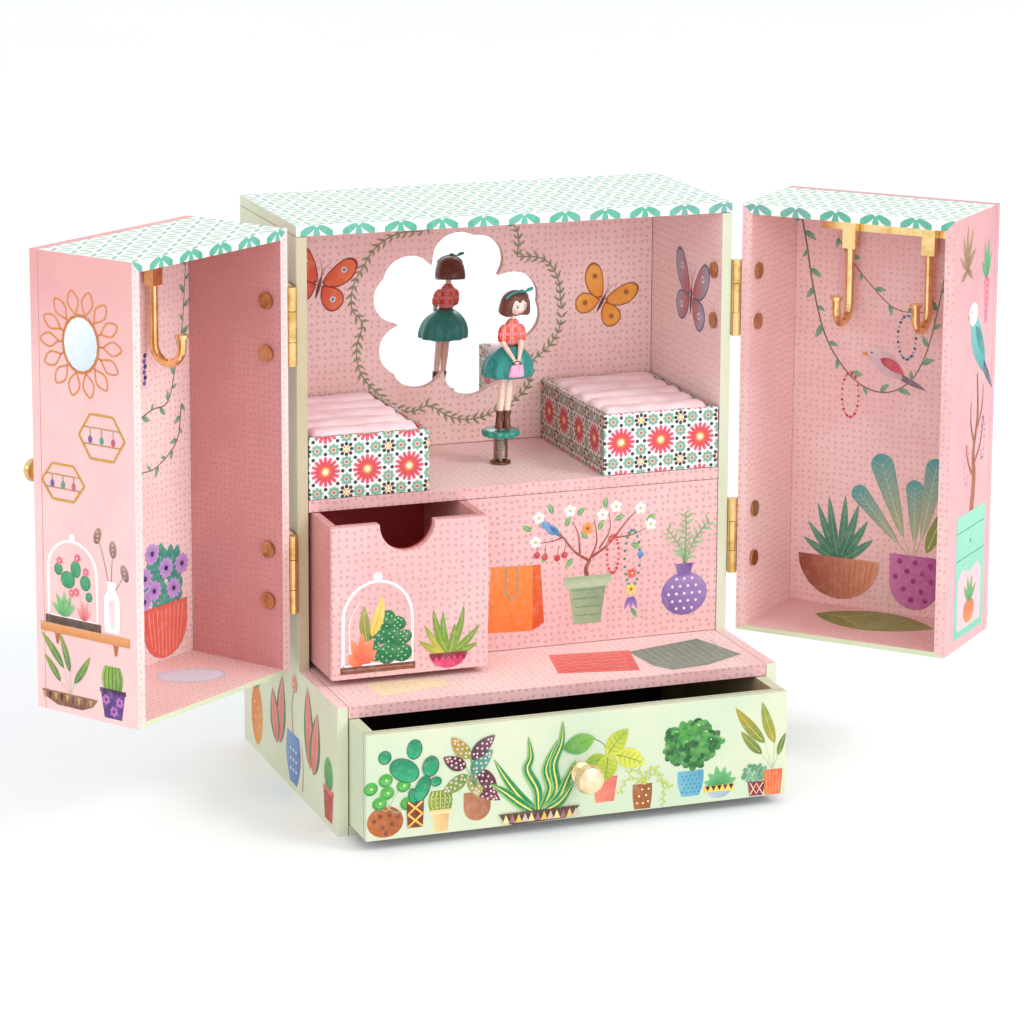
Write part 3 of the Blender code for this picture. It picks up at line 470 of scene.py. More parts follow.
ROUND = 0.45  # of the boards' arrises
STEP_Z = 60.0  # the side panels' step from the deep base to the upper part lies below it
DOOR_TOP_Z = 220.0
DOOR_FLOOR_Z = 53.0
for side, sign in SIDE.items():
    skin(
        f"{side}_side_panel", CREAM,
        # painted shade on the left panel's inner face, painted light on the right panel's
        (lambda p, n, s=sign: n.x * s < -0.5, PINK_SHADE if side == "left" else PINK_LIT),
        # painted light: the paler copy on the panel's tops below the step
        (lambda p, n: n.z > 0.5 and p.z < STEP_Z, PINK_LIT),
        # painted shadow on the left panel's front edge above the step
        (lambda p, n, s=sign: n.y < -0.5 and p.z > STEP_Z and s < 0, CREAM_SHADOW),
        round_edges=ROUND,
    )
skin(
    "top_panel", PETALS,
    (lambda p, n: n.z < -0.5, PINK), (lambda p, n: n.y < -0.5, PETAL_LIP),
    (lambda p, n: abs(n.x) > 0.5 or n.y > 0.5, CREAM),
    round_edges=ROUND,
)
skin("back_panel", CREAM, (lambda p, n: n.y < -0.5, PINK), round_edges=ROUND)
skin("base_floor", CREAM, (lambda p, n: n.z > 0.5, PINK), round_edges=ROUND)
# painted light: the paler copy on the shelf's and stage's tops
for board in ("base_shelf", "stage_board"):
    skin(board, PINK, (lambda p, n: n.z > 0.5, PINK_LIT), round_edges=ROUND)
for board in ("music_cover_panel", "compartment_divider"):
    skin(board, PINK, round_edges=ROUND)
# painted light: the lining takes the paler dotted copy
skin("back_lining", PINK_LIT_BACK)
skin("mirror", MIRROR)
for side in SIDE:
    skin(f"{side}_ring_tray", MEDALLIONS[side], round_edges=0.3)
skin("base_drawer_front", LIME, (lambda p, n: n.y > 0.5, PINK), round_edges=ROUND)
# painted shade on the base drawer's inside, painted light on its right inner wall
skin(
    "base_drawer_tray", DRAWER_SHADED,
    (lambda p, n: n.x < -0.5 and p.x > 60.0, DRAWER_LIT_TAN),
    (lambda p, n: (n.z > 0.5 and p.z > 44.0) or abs(p.x) > 83.4, LIME),
)
skin("small_drawer_front", PINK, round_edges=ROUND)
# painted light on the small drawer's right inner wall
skin(
    "small_drawer_tray", DRAWER_PLUM,
    (lambda p, n: n.x < -0.5 and p.x > -30.0, DRAWER_LIT_ROSE),
    (lambda p, n: (n.z > 0.5 and p.z > 110.0) or p.x < -82.4 or p.x > -20.9, PINK_SHADE),
)
for door, sign in SIDE.items():
    # the door frame's inside takes the door's painted light or shade dotted copy
    skin(
        f"{door}_door_frame", DOOR_DOTS[door],
        # painted shade on the left door's hinge-side wall inside, painted light on the right door's
        (lambda p, n, s=sign: n.x * s < -0.5 and 80 < abs(p.x) < 87, DOOR_HINGE_SHADE_LIGHT[door]),
        # painted light and shade: the outer faces of the free and hinge sides
        (lambda p, n, s=sign: n.x * s < -0.5 and abs(p.x) < 1.5, DOOR_WASH_AND_SHADE[door]),
        (lambda p, n, s=sign: n.x * s > 0.5 and abs(p.x) > 87.5, DOOR_WASH_AND_SHADE[door]),
        (lambda p, n: n.z > 0.5 and p.z > DOOR_TOP_Z, DOOR_PETALS[door]),
        (lambda p, n: n.y > 0.5 and p.z > DOOR_TOP_Z - 5, DOOR_PETAL_LIP[door]),
        (lambda p, n: (n.y > 0.5 or n.z < -0.5) and p.z < DOOR_FLOOR_Z, DOOR_LIME[door]),
        door=door, round_edges=ROUND,
    )
    # painted light and shade: the outer front face, and inside the door's lighter or deeper dotted copy
    skin(f"{door}_door_panel", DOOR_WASH_AND_SHADE[door], (lambda p, n: n.y > 0.5, DOOR_DOTS[door]), door=door,
         round_edges=ROUND)
    for part in ("door_knob", "hook_rail", "hook_1", "hook_2"):
        skin(f"{door}_{part}", GOLD).data.shade_smooth()
    for level in ("upper", "lower"):
        skin(f"{door}_{level}_door_leaf", BRASS, (lambda p, n: p.y < -3.0, BRONZE), door=door)
        skin(f"{door}_{level}_cabinet_leaf", BRASS, (lambda p, n: p.y > 3.0, BRONZE))
skin("base_drawer_knob", metal("pale_gold", "#FBE8C4", "#E9CB92", 0.2, 0.32, 0.02))
for name, finish in (
    ("movement_frame", BRASS), ("tone_comb", STEEL), ("spindle_bush", DARK_BRASS), ("spring_barrel", BRASS),
    ("winding_key", BRASS), ("music_cylinder", BRASS), ("governor_fly", BRASS), ("spindle", STEEL),
    ("figurine_spring", WIRE), ("left_ring_rolls", PINK), ("right_ring_rolls", PINK),
    ("figurine_disc", PINK), ("figurine", PINK), ("figurine_skirt", PINK),
):
    skin(name, finish)
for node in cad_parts.values():
    if not node.modifiers:
        node.data.shade_smooth()
        node.data.set_sharp_from_angle(angle=radians(35))


# ---------------------------------------------------------------- painted motifs


def painted_print():
    """Watercolour print: each shape's own tone, bleached and darkened in patches, over the paper's grain."""
    s = Shader("painted_print", Specular_IOR_Level=0.35)
    point = s.here()
    tone = s.node("Attribute", attribute_name="tone").outputs["Color"]
    pale = s.times(s.step(s.cloud(point, 330.0, 4.0, 0.6), 0.42, 0.75), 0.10)
    deep = s.times(s.step(s.cloud(point, 900.0, 3.0, 0.7), 0.5, 0.8), 0.18)
    s.colour(s.mix(deep, s.mix(pale, tone, "#FFF3E8"), "#4A4038", "MULTIPLY"))
    paper_surface(s, point)
    return s.material


PRINTED = painted_print()


def smooth_path(points, per=5):
    """A curve through the points, Catmull-Rom."""
    knots = np.array(points, float)
    knots = np.vstack([2 * knots[0] - knots[1], knots, 2 * knots[-1] - knots[-2]])
    path = []
    for a, b, c, d in zip(knots, knots[1:], knots[2:], knots[3:]):
        for t in np.arange(per) / per:
            cubic = (2 * a - 5 * b + 4 * c - d) * t**2 + (3 * b - a - 3 * c + d) * t**3
            path.append(0.5 * (2 * b + (c - a) * t + cubic))
    return np.array([*path, knots[-2]])


def run_along(path):
    """Length of the path up to each of its points."""
    return np.append(0.0, np.cumsum(np.hypot(*np.diff(path, axis=0).T)))


def dense(outline, spacing=0.5):
    """The closed outline with points no further apart than the spacing."""
    ring = np.vstack([outline, outline[:1]])
    run = run_along(ring)
    at = np.linspace(0.0, run[-1], max(8, int(run[-1] / spacing) + 1))
    return np.stack([np.interp(at, run, ring[:, i]) for i in (0, 1)], 1)


def inside(spot, outline):
    """Even-odd test."""
    (x, y), ends = outline.T, np.roll(outline, -1, 0)
    crossing = (y > spot[1]) != (ends[:, 1] > spot[1])
    rise = np.where(ends[:, 1] == y, 1.0, ends[:, 1] - y)
    return np.count_nonzero(crossing & (spot[0] < x + (spot[1] - y) * (ends[:, 0] - x) / rise)) % 2 == 1


FIRST_LIFT, LIFT_PITCH, PAINT_THICK = 0.05, 0.024, 0.018  # mm above the face, per layer, of one shape
TOUCHING = 0.3  # shapes nearer than this, in mm, are stacked


class Print:
    """Painted shapes on one flat face, in mm. A shape lies one thin layer above those that it covers."""

    def __init__(self, name, place, body, slot):
        self.name, self.place, self.body, self.slot = name, place, body, slot
        self.shapes = []

    def fill(self, outline, colour, far=None, axis=(0, 1)):
        """A filled outline, its colour running to far along the axis."""
        outline = np.array(outline, float)
        low, high, edge, layer = outline.min(0), outline.max(0), dense(outline), 0
        for other in self.shapes:
            apart = (low > other["high"] + TOUCHING).any() or (high < other["low"] - TOUCHING).any()
            if apart or other["layer"] < layer:
                continue
            gaps = edge[:, None] - other["edge"][None]
            if ((gaps**2).sum(2).min() < TOUCHING**2 or inside(edge[0], other["edge"])
                    or inside(other["edge"][0], edge)):
                layer = other["layer"] + 1
        along = outline @ np.array(axis, float)
        share = (along - along.min()) / max(np.ptp(along), 1e-6)
        near, end = np.array(tint(colour)), np.array(tint(far or colour))
        self.shapes.append(
            {"outline": outline, "tones": near + share[:, None] * (end - near), "low": low, "high": high,
             "edge": edge, "layer": layer}
        )

    def oval(self, u, v, ru, rv, colour, far=None, turn=0.0, axis=(0, 1), count=18):
        angle = circle(count)
        flat = np.stack([ru * np.cos(angle), rv * np.sin(angle)], 1)
        c, s = cos(radians(turn)), sin(radians(turn))
        self.fill(flat @ np.array([[c, s], [-s, c]]) + (u, v), colour, far, axis)

    def stroke(self, points, width, colour, far=None, taper=0.5, per=5):
        path = smooth_path(points, per)
        run = np.gradient(path, axis=0)
        side = np.stack([-run[:, 1], run[:, 0]], 1) / np.maximum(np.hypot(*run.T), 1e-6)[:, None]
        half = 0.5 * width * np.linspace(1.0, taper, len(path))[:, None]
        self.fill(np.vstack([path + side * half, (path - side * half)[::-1]]), colour, far,
                  path[-1] - path[0])

    def line(self, points, width, *colours):
        """Straight runs of one width."""
        self.stroke(points, width, *colours, taper=1.0, per=1)

    def blade(self, base, tip, width, colour, far=None, bend=0.0, fullness=0.8, vein=None, edge=None):
        """A pointed leaf from base to tip. fullness under 1 is broad near the base."""
        if edge:
            self.blade(base, tip, width, edge, None, bend, fullness)
            width *= 0.66
        base, along = np.array(base, float), np.array(tip, float) - np.array(base, float)
        side = np.array([-along[1], along[0]])
        t = np.linspace(0, 1, 11)
        middle = base + t[:, None] * along + (2 * bend * t * (1 - t))[:, None] * side
        half = 0.5 * width * np.maximum(np.sin(pi * t**fullness), 0.0) ** 0.8
        out = half[:, None] * side / max(np.hypot(*side), 1e-6)
        self.fill(np.vstack([middle + out, (middle - out)[-2:0:-1]]), colour, far, along)
        if vein:
            self.stroke(middle[1:-1:2], max(0.22, width * 0.06), vein, per=2)

    def spray(self, base, tips, *shape, **more):
        """Leaves from one base to each tip."""
        for tip in tips:
            self.blade(base, tip, *shape, **more)

    def pot(self, u, low, high, foot, mouth, colour, far=None, belly=0.0, rim=None):
        """A pot's side view, between two heights, foot and mouth being widths."""
        t = np.linspace(0, 1, 9)
        half = 0.5 * (foot + (mouth - foot) * t) + belly * np.sin(pi * t)
        height = low + (high - low) * t
        right = np.stack([u + half, height], 1)
        left = np.stack([u - half, height], 1)[::-1]
        self.fill(np.vstack([right, left]), colour, far, (1, 0.3))
        if rim:
            self.box(u - mouth / 2 - 0.5, u + mouth / 2 + 0.5, high - 1.6, high + 0.3, rim)

    def cup(self, u, low, high, wide, colour, far=None):
        """A round-bottomed pot or bowl, as deep as its curve."""
        turn = np.linspace(0, pi, 13)
        deep = min(high - low, wide / 2)
        curve = np.stack([u + wide / 2 * np.cos(turn), low + deep - deep * np.sin(turn)], 1)
        self.fill([(u + wide / 2, high), *curve, (u - wide / 2, high)], colour, far, (1, 0.3))

    def wavy(self, points, width, edge, colour, stripe):
        """A long wavy leaf, widest low down, with a paler edge and a stripe along its middle."""
        path = smooth_path(points, 6)
        run = np.gradient(path, axis=0)
        side = np.stack([-run[:, 1], run[:, 0]], 1) / np.hypot(*run.T)[:, None]
        t = np.linspace(0.12, 1.0, len(path))[:, None]
        half = 0.5 * width * np.sin(pi * t**0.8) ** 0.7
        half[-1] = 0.0
        for share, hue, shift in ((1.0, edge, 0.0), (0.78, colour, -0.1), (0.16, stripe, 0.0)):
            middle = path + shift * half * side
            self.fill(np.vstack([middle + share * half * side, (middle - share * half * side)[-2::-1]]), hue)

    def paddle(self, base, tip, width, colour, far, vein):
        """A leaf that widens to a rounded tip, with a pale midrib and fine side veins."""
        base, along = np.array(base, float), np.array(tip, float) - np.array(base, float)
        long = np.hypot(*along)
        ahead, aside = along / long, np.array([-along[1], along[0]]) / long
        cap = 0.5 * width
        turn = np.linspace(-0.5 * pi, 0.5 * pi, 11)
        crown = (base + (long - cap + cap * np.cos(turn))[:, None] * ahead
                 + (cap * np.sin(turn))[:, None] * aside)
        t = np.linspace(0.0, 1.0, 6)[1:-1, None]
        run = base + t * (long - cap) * ahead
        half = cap * (0.12 + 0.88 * t**0.7) * aside
        self.fill(np.vstack([base - 0.06 * width * aside, run - half, crown, (run + half)[::-1],
                             base + 0.06 * width * aside]),
                  colour, far, tuple(ahead))
        for k in np.linspace(0.15, 0.85, 9):
            start = base + k * long * ahead
            for way in (-1, 1):
                end = start + 0.1 * long * ahead + way * cap * 0.85 * min(1.0, 0.2 + k) * aside
                self.stroke([start, end], 0.17, vein, per=1)
        self.stroke([base, base + 0.9 * along], 0.55, vein, taper=0.3, per=1)

    def beads(self, u, v, wide, tall, count, radius, hues):
        """A string of beads hanging in a loop."""
        for k in range(count):
            angle = 2 * pi * k / count
            self.oval(u + wide * cos(angle), v + tall * sin(angle), radius, radius,
                      hues[k % len(hues)], count=8)

    def glass(self, outline):
        """The white outline of a glass bell; the paper shows through."""
        self.line([*outline, outline[0]], 1.1, "#FFFBFA", "#F8E6E3")

    def box(self, left, right, low, high, colour, far=None):
        self.fill([(left, low), (right, low), (right, high), (left, high)], colour, far)

    def dots(self, spots, radius, colour):
        for u, v in spots:
            self.oval(u, v, radius, radius, colour, count=8)

    def flowers(self, spots, *shape):
        for u, v in spots:
            self.flower(u, v, *shape)

    def flower(self, u, v, radius, petals, colour, far, middle, wide=0.62):
        for k in range(petals):
            angle = 2 * pi * (k + 0.3) / petals
            tip = (u + radius * cos(angle), v + radius * sin(angle))
            self.blade((u, v), tip, radius * wide, colour, far, fullness=1.5)
        self.oval(u, v, radius * 0.24, radius * 0.24, middle, count=8)

    def vine(self, points, width, colour, leaf, far, length, spacing, lean=45.0, skip=0.0, wide=0.4):
        """A stem with leaves on alternate sides."""
        path = smooth_path(points, 8)
        self.stroke(points, width, colour, taper=0.6)
        run = run_along(path)
        for index, at in enumerate(np.arange(skip, run[-1], spacing)):
            spot = np.array([np.interp(at, run, path[:, i]) for i in (0, 1)])
            ahead = np.array([np.interp(min(at + 1.0, run[-1]), run, path[:, i]) for i in (0, 1)]) - spot
            if not ahead.any():
                continue
            heading = atan2(ahead[1], ahead[0]) + radians(lean) * (1 if index % 2 else -1)
            size = length * (0.8 + 0.2 * sin(2.3 * index))
            tip = spot + size * np.array([cos(heading), sin(heading)])
            self.blade(spot, tip, size * wide, leaf, far, bend=0.1)

    def make(self):
        origin = np.array(self.place(0.0, 0.0, 0.0))
        axes = [np.array(self.place(*step)) - origin for step in ((1, 0, 0), (0, 1, 0), (0, 0, 1))]
        handed = float(np.dot(np.cross(axes[0], axes[1]), axes[2]))
        points, faces, tones = [], [], []
        for shape in self.shapes:
            outline = shape["outline"]
            after = np.roll(outline, -1, 0)
            area = float((outline[:, 0] * after[:, 1] - outline[:, 1] * after[:, 0]).sum())
            lift = FIRST_LIFT + LIFT_PITCH * shape["layer"]
            ring = list(range(len(points), len(points) + len(outline)))
            points += [Vector(self.place(u, v, lift)) * MM for u, v in outline]
            tones += [tuple(tone) for tone in shape["tones"]]
            faces.append(ring if area * handed > 0 else ring[::-1])
        mesh = bpy.data.meshes.new(self.name)
        mesh.from_pydata(points, [], faces)
        mesh.attributes.new("tone", "FLOAT_COLOR", "POINT").data.foreach_set("color", np.ravel(tones))
        mesh.materials.append(PRINTED)
        piece = linked(self.name, mesh)
        body = piece.modifiers.new("paint_film", "SOLIDIFY")
        body.thickness, body.offset = PAINT_THICK * MM, -1.0
        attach(piece, self.body)


# where the painted faces lie, in mm
BASE_DRAWER_Y, SMALL_DRAWER_Y, COVER_Y, LINING_Y = -69.4, -24.7, 0.3, 71.0
WALL_X, SIDE_X, SHELF_Z = 84.0, 88.0, 49.6
# the doors' faces, with the door closed
DOOR_HINGE_X, DOOR_FREE_X, DOOR_SILL_Z = 88.0, 0.5, 51.9
DOOR_RIM_Y, DOOR_INSIDE_Y, DOOR_OUTSIDE_Y = -0.8, -45.3, -49.0


def facing_front(y):
    return lambda u, v, lift: (u, y - lift, v)


def on_door(door, closed):
    """Turns a closed door's placing into the open one's."""
    turn = Matrix.Rotation(OPEN_ANGLE[door], 3, "Z")
    centre = Vector((*HINGE[door], 0.0)) / MM
    return lambda u, v, lift: tuple(turn @ (Vector(closed(u, v, lift)) - centre) + centre)


def door_inside(door):
    """u from the hinge side, v up."""
    return on_door(door, lambda u, v, lift: (SIDE[door] * (DOOR_HINGE_X - u), DOOR_INSIDE_Y + lift, v))


def door_edge(door):
    """The free side: u from the rim, v up."""
    return on_door(door, lambda u, v, lift: (SIDE[door] * (DOOR_FREE_X - lift), DOOR_RIM_Y - u, v))


def door_floor(door):
    """u from the hinge side, v from the rim."""
    sign = SIDE[door]
    return on_door(door, lambda u, v, lift: (sign * (DOOR_HINGE_X - u), DOOR_RIM_Y - v, DOOR_SILL_Z + lift))


def door_outside(door):
    """u from the middle of the box, v up."""
    return on_door(door, lambda u, v, lift: (SIDE[door] * u, DOOR_OUTSIDE_Y - lift, v))


# colours of several motifs: near and far end of a leaf, or stem first
SPRIG = ("#4E9160", "#86BC74")
VINE = ("#7C5A4A", "#5E8F6C", "#98BE98")
HEDGE = ("#7C6A58", "#5E8A6C", "#8FB394")
BARK = ("#A8603C", "#8A4A38")
EYE = "#1E2630"
SEED_TURN = 2.4  # radians from one seed of a seed head to the next


def seeds(count, inward=False):
    """Index, distance and angle of points that fill a unit disc evenly."""
    for k in range(count):
        yield k, sqrt((count - k if inward else k + 1) / count), SEED_TURN * k


def fringe(p, base, tip, width, colour):
    """Side veins of a feathery leaf."""
    base, along = np.array(base), np.array(tip) - np.array(base)
    across = np.array([-along[1], along[0]]) / np.hypot(*along)
    for t in (0.2, 0.35, 0.5, 0.65, 0.8):
        reach = 0.4 * width * sin(pi * t**0.8)
        for side in (-1, 1):
            start = base + t * along
            p.stroke([start, start + 0.1 * along + side * reach * across], 0.28, colour, per=2)


def arch(u, v, wide, tall, count):
    """Points of a round arch, from its right foot to its left one."""
    turns = np.linspace(0.05, pi - 0.05, count)
    return [(u + wide * cos(a), v + tall * sin(a)) for a in turns]


def paint_base_drawer():
    p = Print("base_drawer_paint", facing_front(BASE_DRAWER_Y), "base_drawer", "cream_paper_board")
    # round-leaved plant in a spotted pot
    p.oval(-76.3, 11.2, 7.0, 6.0, "#B9682F", "#A4552C", axis=(1, 0.4), count=26)
    p.dots([(-80.6, 11.6), (-77.4, 9.2), (-73.6, 10.0), (-78.2, 13.4), (-74.6, 13.8), (-71.4, 12.6),
            (-76.0, 6.8)], 0.95, "#8A3F20")
    for u, v in ((-81.8, 24.2), (-76.1, 26.9), (-75.5, 22.1), (-69.2, 24.3), (-78.5, 18.4), (-67.8, 17.4)):
        p.stroke([(-75, 16), (u * 0.5 - 37.5, v - 3.0), (u, v)], 0.3, "#A9C79C")
        p.oval(u, v, 2.8, 2.5, "#2F8F36", "#4FAE45", turn=20)
        p.oval(u, v, 1.9, 1.7, "#5CB84E", "#49A544", count=12)
        p.oval(u + 0.3, v, 0.6, 0.5, "#B9E29A", count=8)
    # paddle cactus in a diamond pot
    p.pot(-64.8, 7.9, 18.1, 5.8, 6.8, "#8A3A1E", "#5E2A1E")
    for low in (8.2, 13.0):
        for ends in (((-67.6, low), (-62.0, low + 4.8)), ((-62.0, low), (-67.6, low + 4.8))):
            p.line(ends, 0.75, "#F3B53E", "#F8C96A")
    for u, v, ru, rv, turn in (
        (-65.6, 20.0, 1.8, 3.0, 10), (-62.0, 22.4, 2.8, 5.2, -22), (-68.9, 30.0, 6.2, 4.3, -30),
        (-76.4, 35.6, 2.6, 2.7, 0),
        (-65.0, 37.6, 3.1, 3.9, -6), (-58.8, 30.6, 3.2, 4.0, -12), (-56.8, 24.6, 2.2, 1.9, 0),
    ):
        p.oval(u, v, ru, rv, "#1B5B45", turn=turn)
        p.oval(u - 0.12, v + 0.12, ru - 0.3, rv - 0.3, "#25A873", "#17805A", turn=turn)
    # barrel cactus
    p.pot(-55.0, 12.8, 20.9, 7.6, 7.4, "#8B9F3C", "#6C8836", belly=1.0)
    for k in (-3.4, -1.7, 0.0, 1.7, 3.4):
        p.stroke([(-55.0 + k * 0.8, 20.6), (-55.0 + k * 1.1, 17.0), (-55.0 + k * 0.8, 13.2)], 0.4, "#D3CF7A")
        p.dots([(-55.0 + k * 1.1 + 0.8, 14.4 + 1.7 * j) for j in range(4)], 0.2, "#F2F0C8")
    p.pot(-54.9, 5.2, 12.2, 5.2, 6.6, "#F3CE92", "#DCAA6C")
    p.box(-59.0, -50.8, 12.0, 13.6, "#F8DFAE", "#E9C084")
    # spotted begonia in a round-bottomed pot
    p.cup(-40.7, 7.7, 18.8, 10.6, "#B67A58", "#9E6044")
    for base, tip, width, hue, far in (
        ((-41.4, 20.0), (-31.6, 14.6), 4.6, "#5A2A3C", "#7A3A48"),
        ((-42.4, 26.0), (-40.4, 16.6), 6.6, "#8B9048", "#A7A75C"),
        ((-44.5, 25.8), (-54.6, 19.4), 5.4, "#5C8A3E", "#8A9A44"),
        ((-40.4, 27.6), (-33.0, 16.2), 5.8, "#4A2434", "#6A3444"),
        ((-43.0, 25.8), (-34.6, 34.4), 5.8, "#2F7F6C", "#4C9C84"),
        ((-45.0, 28.6), (-54.0, 33.4), 5.4, "#43202E", "#6A2E44"),
        ((-43.4, 32.0), (-50.7, 40.8), 5.4, "#7A9A3C", "#C38A34"),
        ((-43.0, 31.4), (-33.8, 40.0), 5.6, "#4A2434", "#6E5060"),
    ):
        p.stroke([(-41.4, 21.0), base], 0.3, "#5E8A6C", per=2)
        p.blade(base, tip, width, hue, far, bend=0.06)
        base, tip = np.array(base), np.array(tip)
        across = np.array([base[1] - tip[1], tip[0] - base[0]]) / np.hypot(*(tip - base))
        for t, wide in ((0.16, 0.9), (0.36, 1.5), (0.56, 1.4), (0.76, 0.7)):
            for sway in (-wide, 0.0, wide):
                p.dots([base + (t + 0.08 * (sway == 0)) * (tip - base) + sway * across], 0.44, "#F3C6C8")
    # snake plant in a shallow bowl of triangles
    for path in (
        [(-17.5, 8.6), (-24.0, 15.0), (-29.6, 22.6), (-34.3, 30.6)],
        [(-18.5, 8.6), (-24.0, 12.4), (-30.0, 17.4), (-35.8, 21.4)],
        [(-16.7, 8.6), (-17.2, 17.0), (-21.2, 25.0), (-19.8, 30.0), (-20.8, 38.0)],
        [(-15.5, 8.6), (-12.0, 17.0), (-13.8, 25.0), (-9.2, 35.6)],
        [(-14.8, 8.6), (-9.6, 16.0), (-10.8, 26.0), (-7.8, 34.0), (-7.2, 42.8)],
        [(-14.6, 8.6), (-8.6, 13.4), (-5.6, 19.6), (-2.1, 27.0)], [(-14.2, 8.6), (-8.0, 11.8), (-2.6, 18.8)],
    ):
        p.wavy(path, 3.9, "#8CC26A", "#1F8552", "#F0E26A")
    p.fill([(-32.4, 9.1), (-0.4, 9.4), (-3.0, 6.6), (-6.4, 5.0), (-26.8, 4.6), (-30.4, 6.2)],
           "#4A3430", "#5C4038")
    for k in range(12):
        u, hue = -29.6 + 2.5 * k, ("#F5DE96", "#9E6A6E", "#E6BE5A", "#D3BCAE")[k % 4]
        p.fill([(u - 1.35, 5.4), (u + 1.35, 5.4), (u, 8.8)], hue)
    # broad leaves in a salmon pot
    p.pot(9.8, 9.2, 19.0, 7.4, 10.0, "#EC8A74", "#D66A60")
    p.stroke([(5.0, 34.6), (9.6, 31.0), (10.4, 24.0)], 0.35, "#6E5A5A")
    for base, tip, width, hue, far in (
        ((5.4, 34.8), (-7.2, 31.6), 7.6, "#7CBB4A", "#3F9450"),
        ((10.4, 26.6), (1.6, 25.0), 5.6, "#A8C040", "#8CB03A"),
        ((10.2, 26.8), (18.8, 36.8), 7.4, "#D2D24A", "#A6BE3C"),
        ((13.0, 27.4), (26.0, 22.4), 7.8, "#CFD048", "#DADB5A"),
        ((10.8, 28.0), (9.6, 17.2), 8.4, "#C3CC42", "#A4BA38"),
    ):
        p.blade(base, tip, width, hue, far, bend=0.05, vein="#6E9A34", fullness=0.95)
        fringe(p, base, tip, width, "#8FAE38")
    # trailing sprigs in a spotted pot
    p.pot(24.9, 4.8, 14.6, 6.4, 7.8, "#A8642E", "#8C4A26", belly=0.3)
    p.dots([(22.8, 7.2), (25.2, 7.0), (27.2, 7.6), (23.6, 9.8), (26.4, 10.0), (24.8, 12.4), (27.4, 12.4)],
           0.42, "#F2E0C0")
    for way in ([(25, 14.6), (20, 17.6), (15.2, 11.8)], [(25, 14.6), (31, 18.6), (33.6, 12), (33.2, 4.8)],
                [(25, 14.6), (24, 19.6), (18.8, 20)],
                [(25, 14.6), (28, 20.2), (31.0, 20.0)], [(31, 16.0), (34.0, 13.6), (37.2, 12.0)]):
        p.vine(way, 0.3, "#B5BC62", "#CBD458", "#AFC45A", 1.9, 1.3, wide=0.55)
    # bush of small round leaves over a blue pot
    p.pot(44.4, 7.6, 17.6, 7.0, 10.4, "#6DB3C6", "#5498B4", belly=0.8)
    p.dots([(41.0 + 1.7 * i + 0.8 * (j % 2), 9.2 + 1.6 * j) for i in range(5) for j in range(5)],
           0.36, "#3B7C98")
    for k, away, turn in seeds(90, inward=True):
        u = 44.2 + (11.0 + 1.3 * cos(3 * turn)) * away * cos(turn)
        v = 28.0 + (8.8 - 0.9 * cos(3 * turn)) * away * sin(turn)
        hue = ("#1F5E30", "#38863C", "#2B6E36", "#4F9A44")[int(97 * sin(k) + 97) % 4]
        p.oval(u, v, 1.9, 1.45, hue, "#5BA450" if k % 3 == 0 else None, turn=50 * k, count=12)
        if k % 5 == 0:
            p.oval(u + 0.6, v + 0.9, 0.45, 0.3, "#C4DDA0", turn=50 * k, count=8)
    # small agave over a half-round bowl
    tips = ((49.8, 12.6), (51.6, 15.8), (54.8, 18.4), (58.6, 17.6), (61.2, 15.6), (63.2, 12.8))
    p.spray((56.2, 10.4), tips, 2.9, "#2F8A54", "#74BC78")
    p.cup(56.1, 5.6, 8.8, 9.8, "#B4C4D0", "#94A8BC")
    p.box(50.0, 62.2, 8.2, 10.8, "#F5D060", "#F2C450")
    for k in range(5):
        p.fill([(50.4 + 2.4 * k, 10.7), (52.4 + 2.4 * k, 10.7), (51.4 + 2.4 * k, 8.6)], "#2C2422")
    # grey-green bush in a maroon pot
    for k, away, turn in seeds(30):
        p.oval(70.5 + 5.0 * away * cos(turn), 13.6 + 3.6 * away * sin(turn), 1.0, 0.8,
               ("#5E9470", "#86B894", "#74A884")[int(97 * sin(k) + 97) % 3], turn=40 * k, count=10)
    p.pot(71.4, 4.9, 10.4, 5.4, 7.0, "#962C40", "#6E2038")
    p.line([(68.8, 10.0), (71.4, 5.6), (74.2, 10.0)], 0.5, "#F2C9A0")
    p.line([(68.8, 5.4), (71.4, 9.8), (74.0, 5.4)], 0.5, "#F2C9A0")
    # long-stemmed leaves in an orange pot
    for base, tip, width, hue, far in (
        ((74.8, 25.2), (62.3, 40.4), 4.6, "#6E8A3A", "#B09A34"),
        ((78.8, 24.8), (73.4, 41.6), 4.2, "#A89A34", "#7E9A44"),
        ((73.6, 21.0), (64.8, 30.8), 3.6, "#5E7F3A", "#8A9440"),
        ((80.2, 19.8), (83.2, 28.4), 2.4, "#6E8A3A", "#4E7434"),
    ):
        p.stroke([(78.0, 14.6), base], 0.3, "#B9C79C", per=2)
        p.blade(base, tip, width, hue, far, bend=0.05, vein="#E2C860")
    p.pot(78.2, 4.7, 14.5, 6.2, 7.8, "#EA7440", "#D85C32")
    for k in (-2, -1, 0, 1, 2):
        p.line([(78.2 + 1.4 * k, 14.0), (78.2 + 1.15 * k, 5.2)], 0.3, "#F59A66")
    p.make()


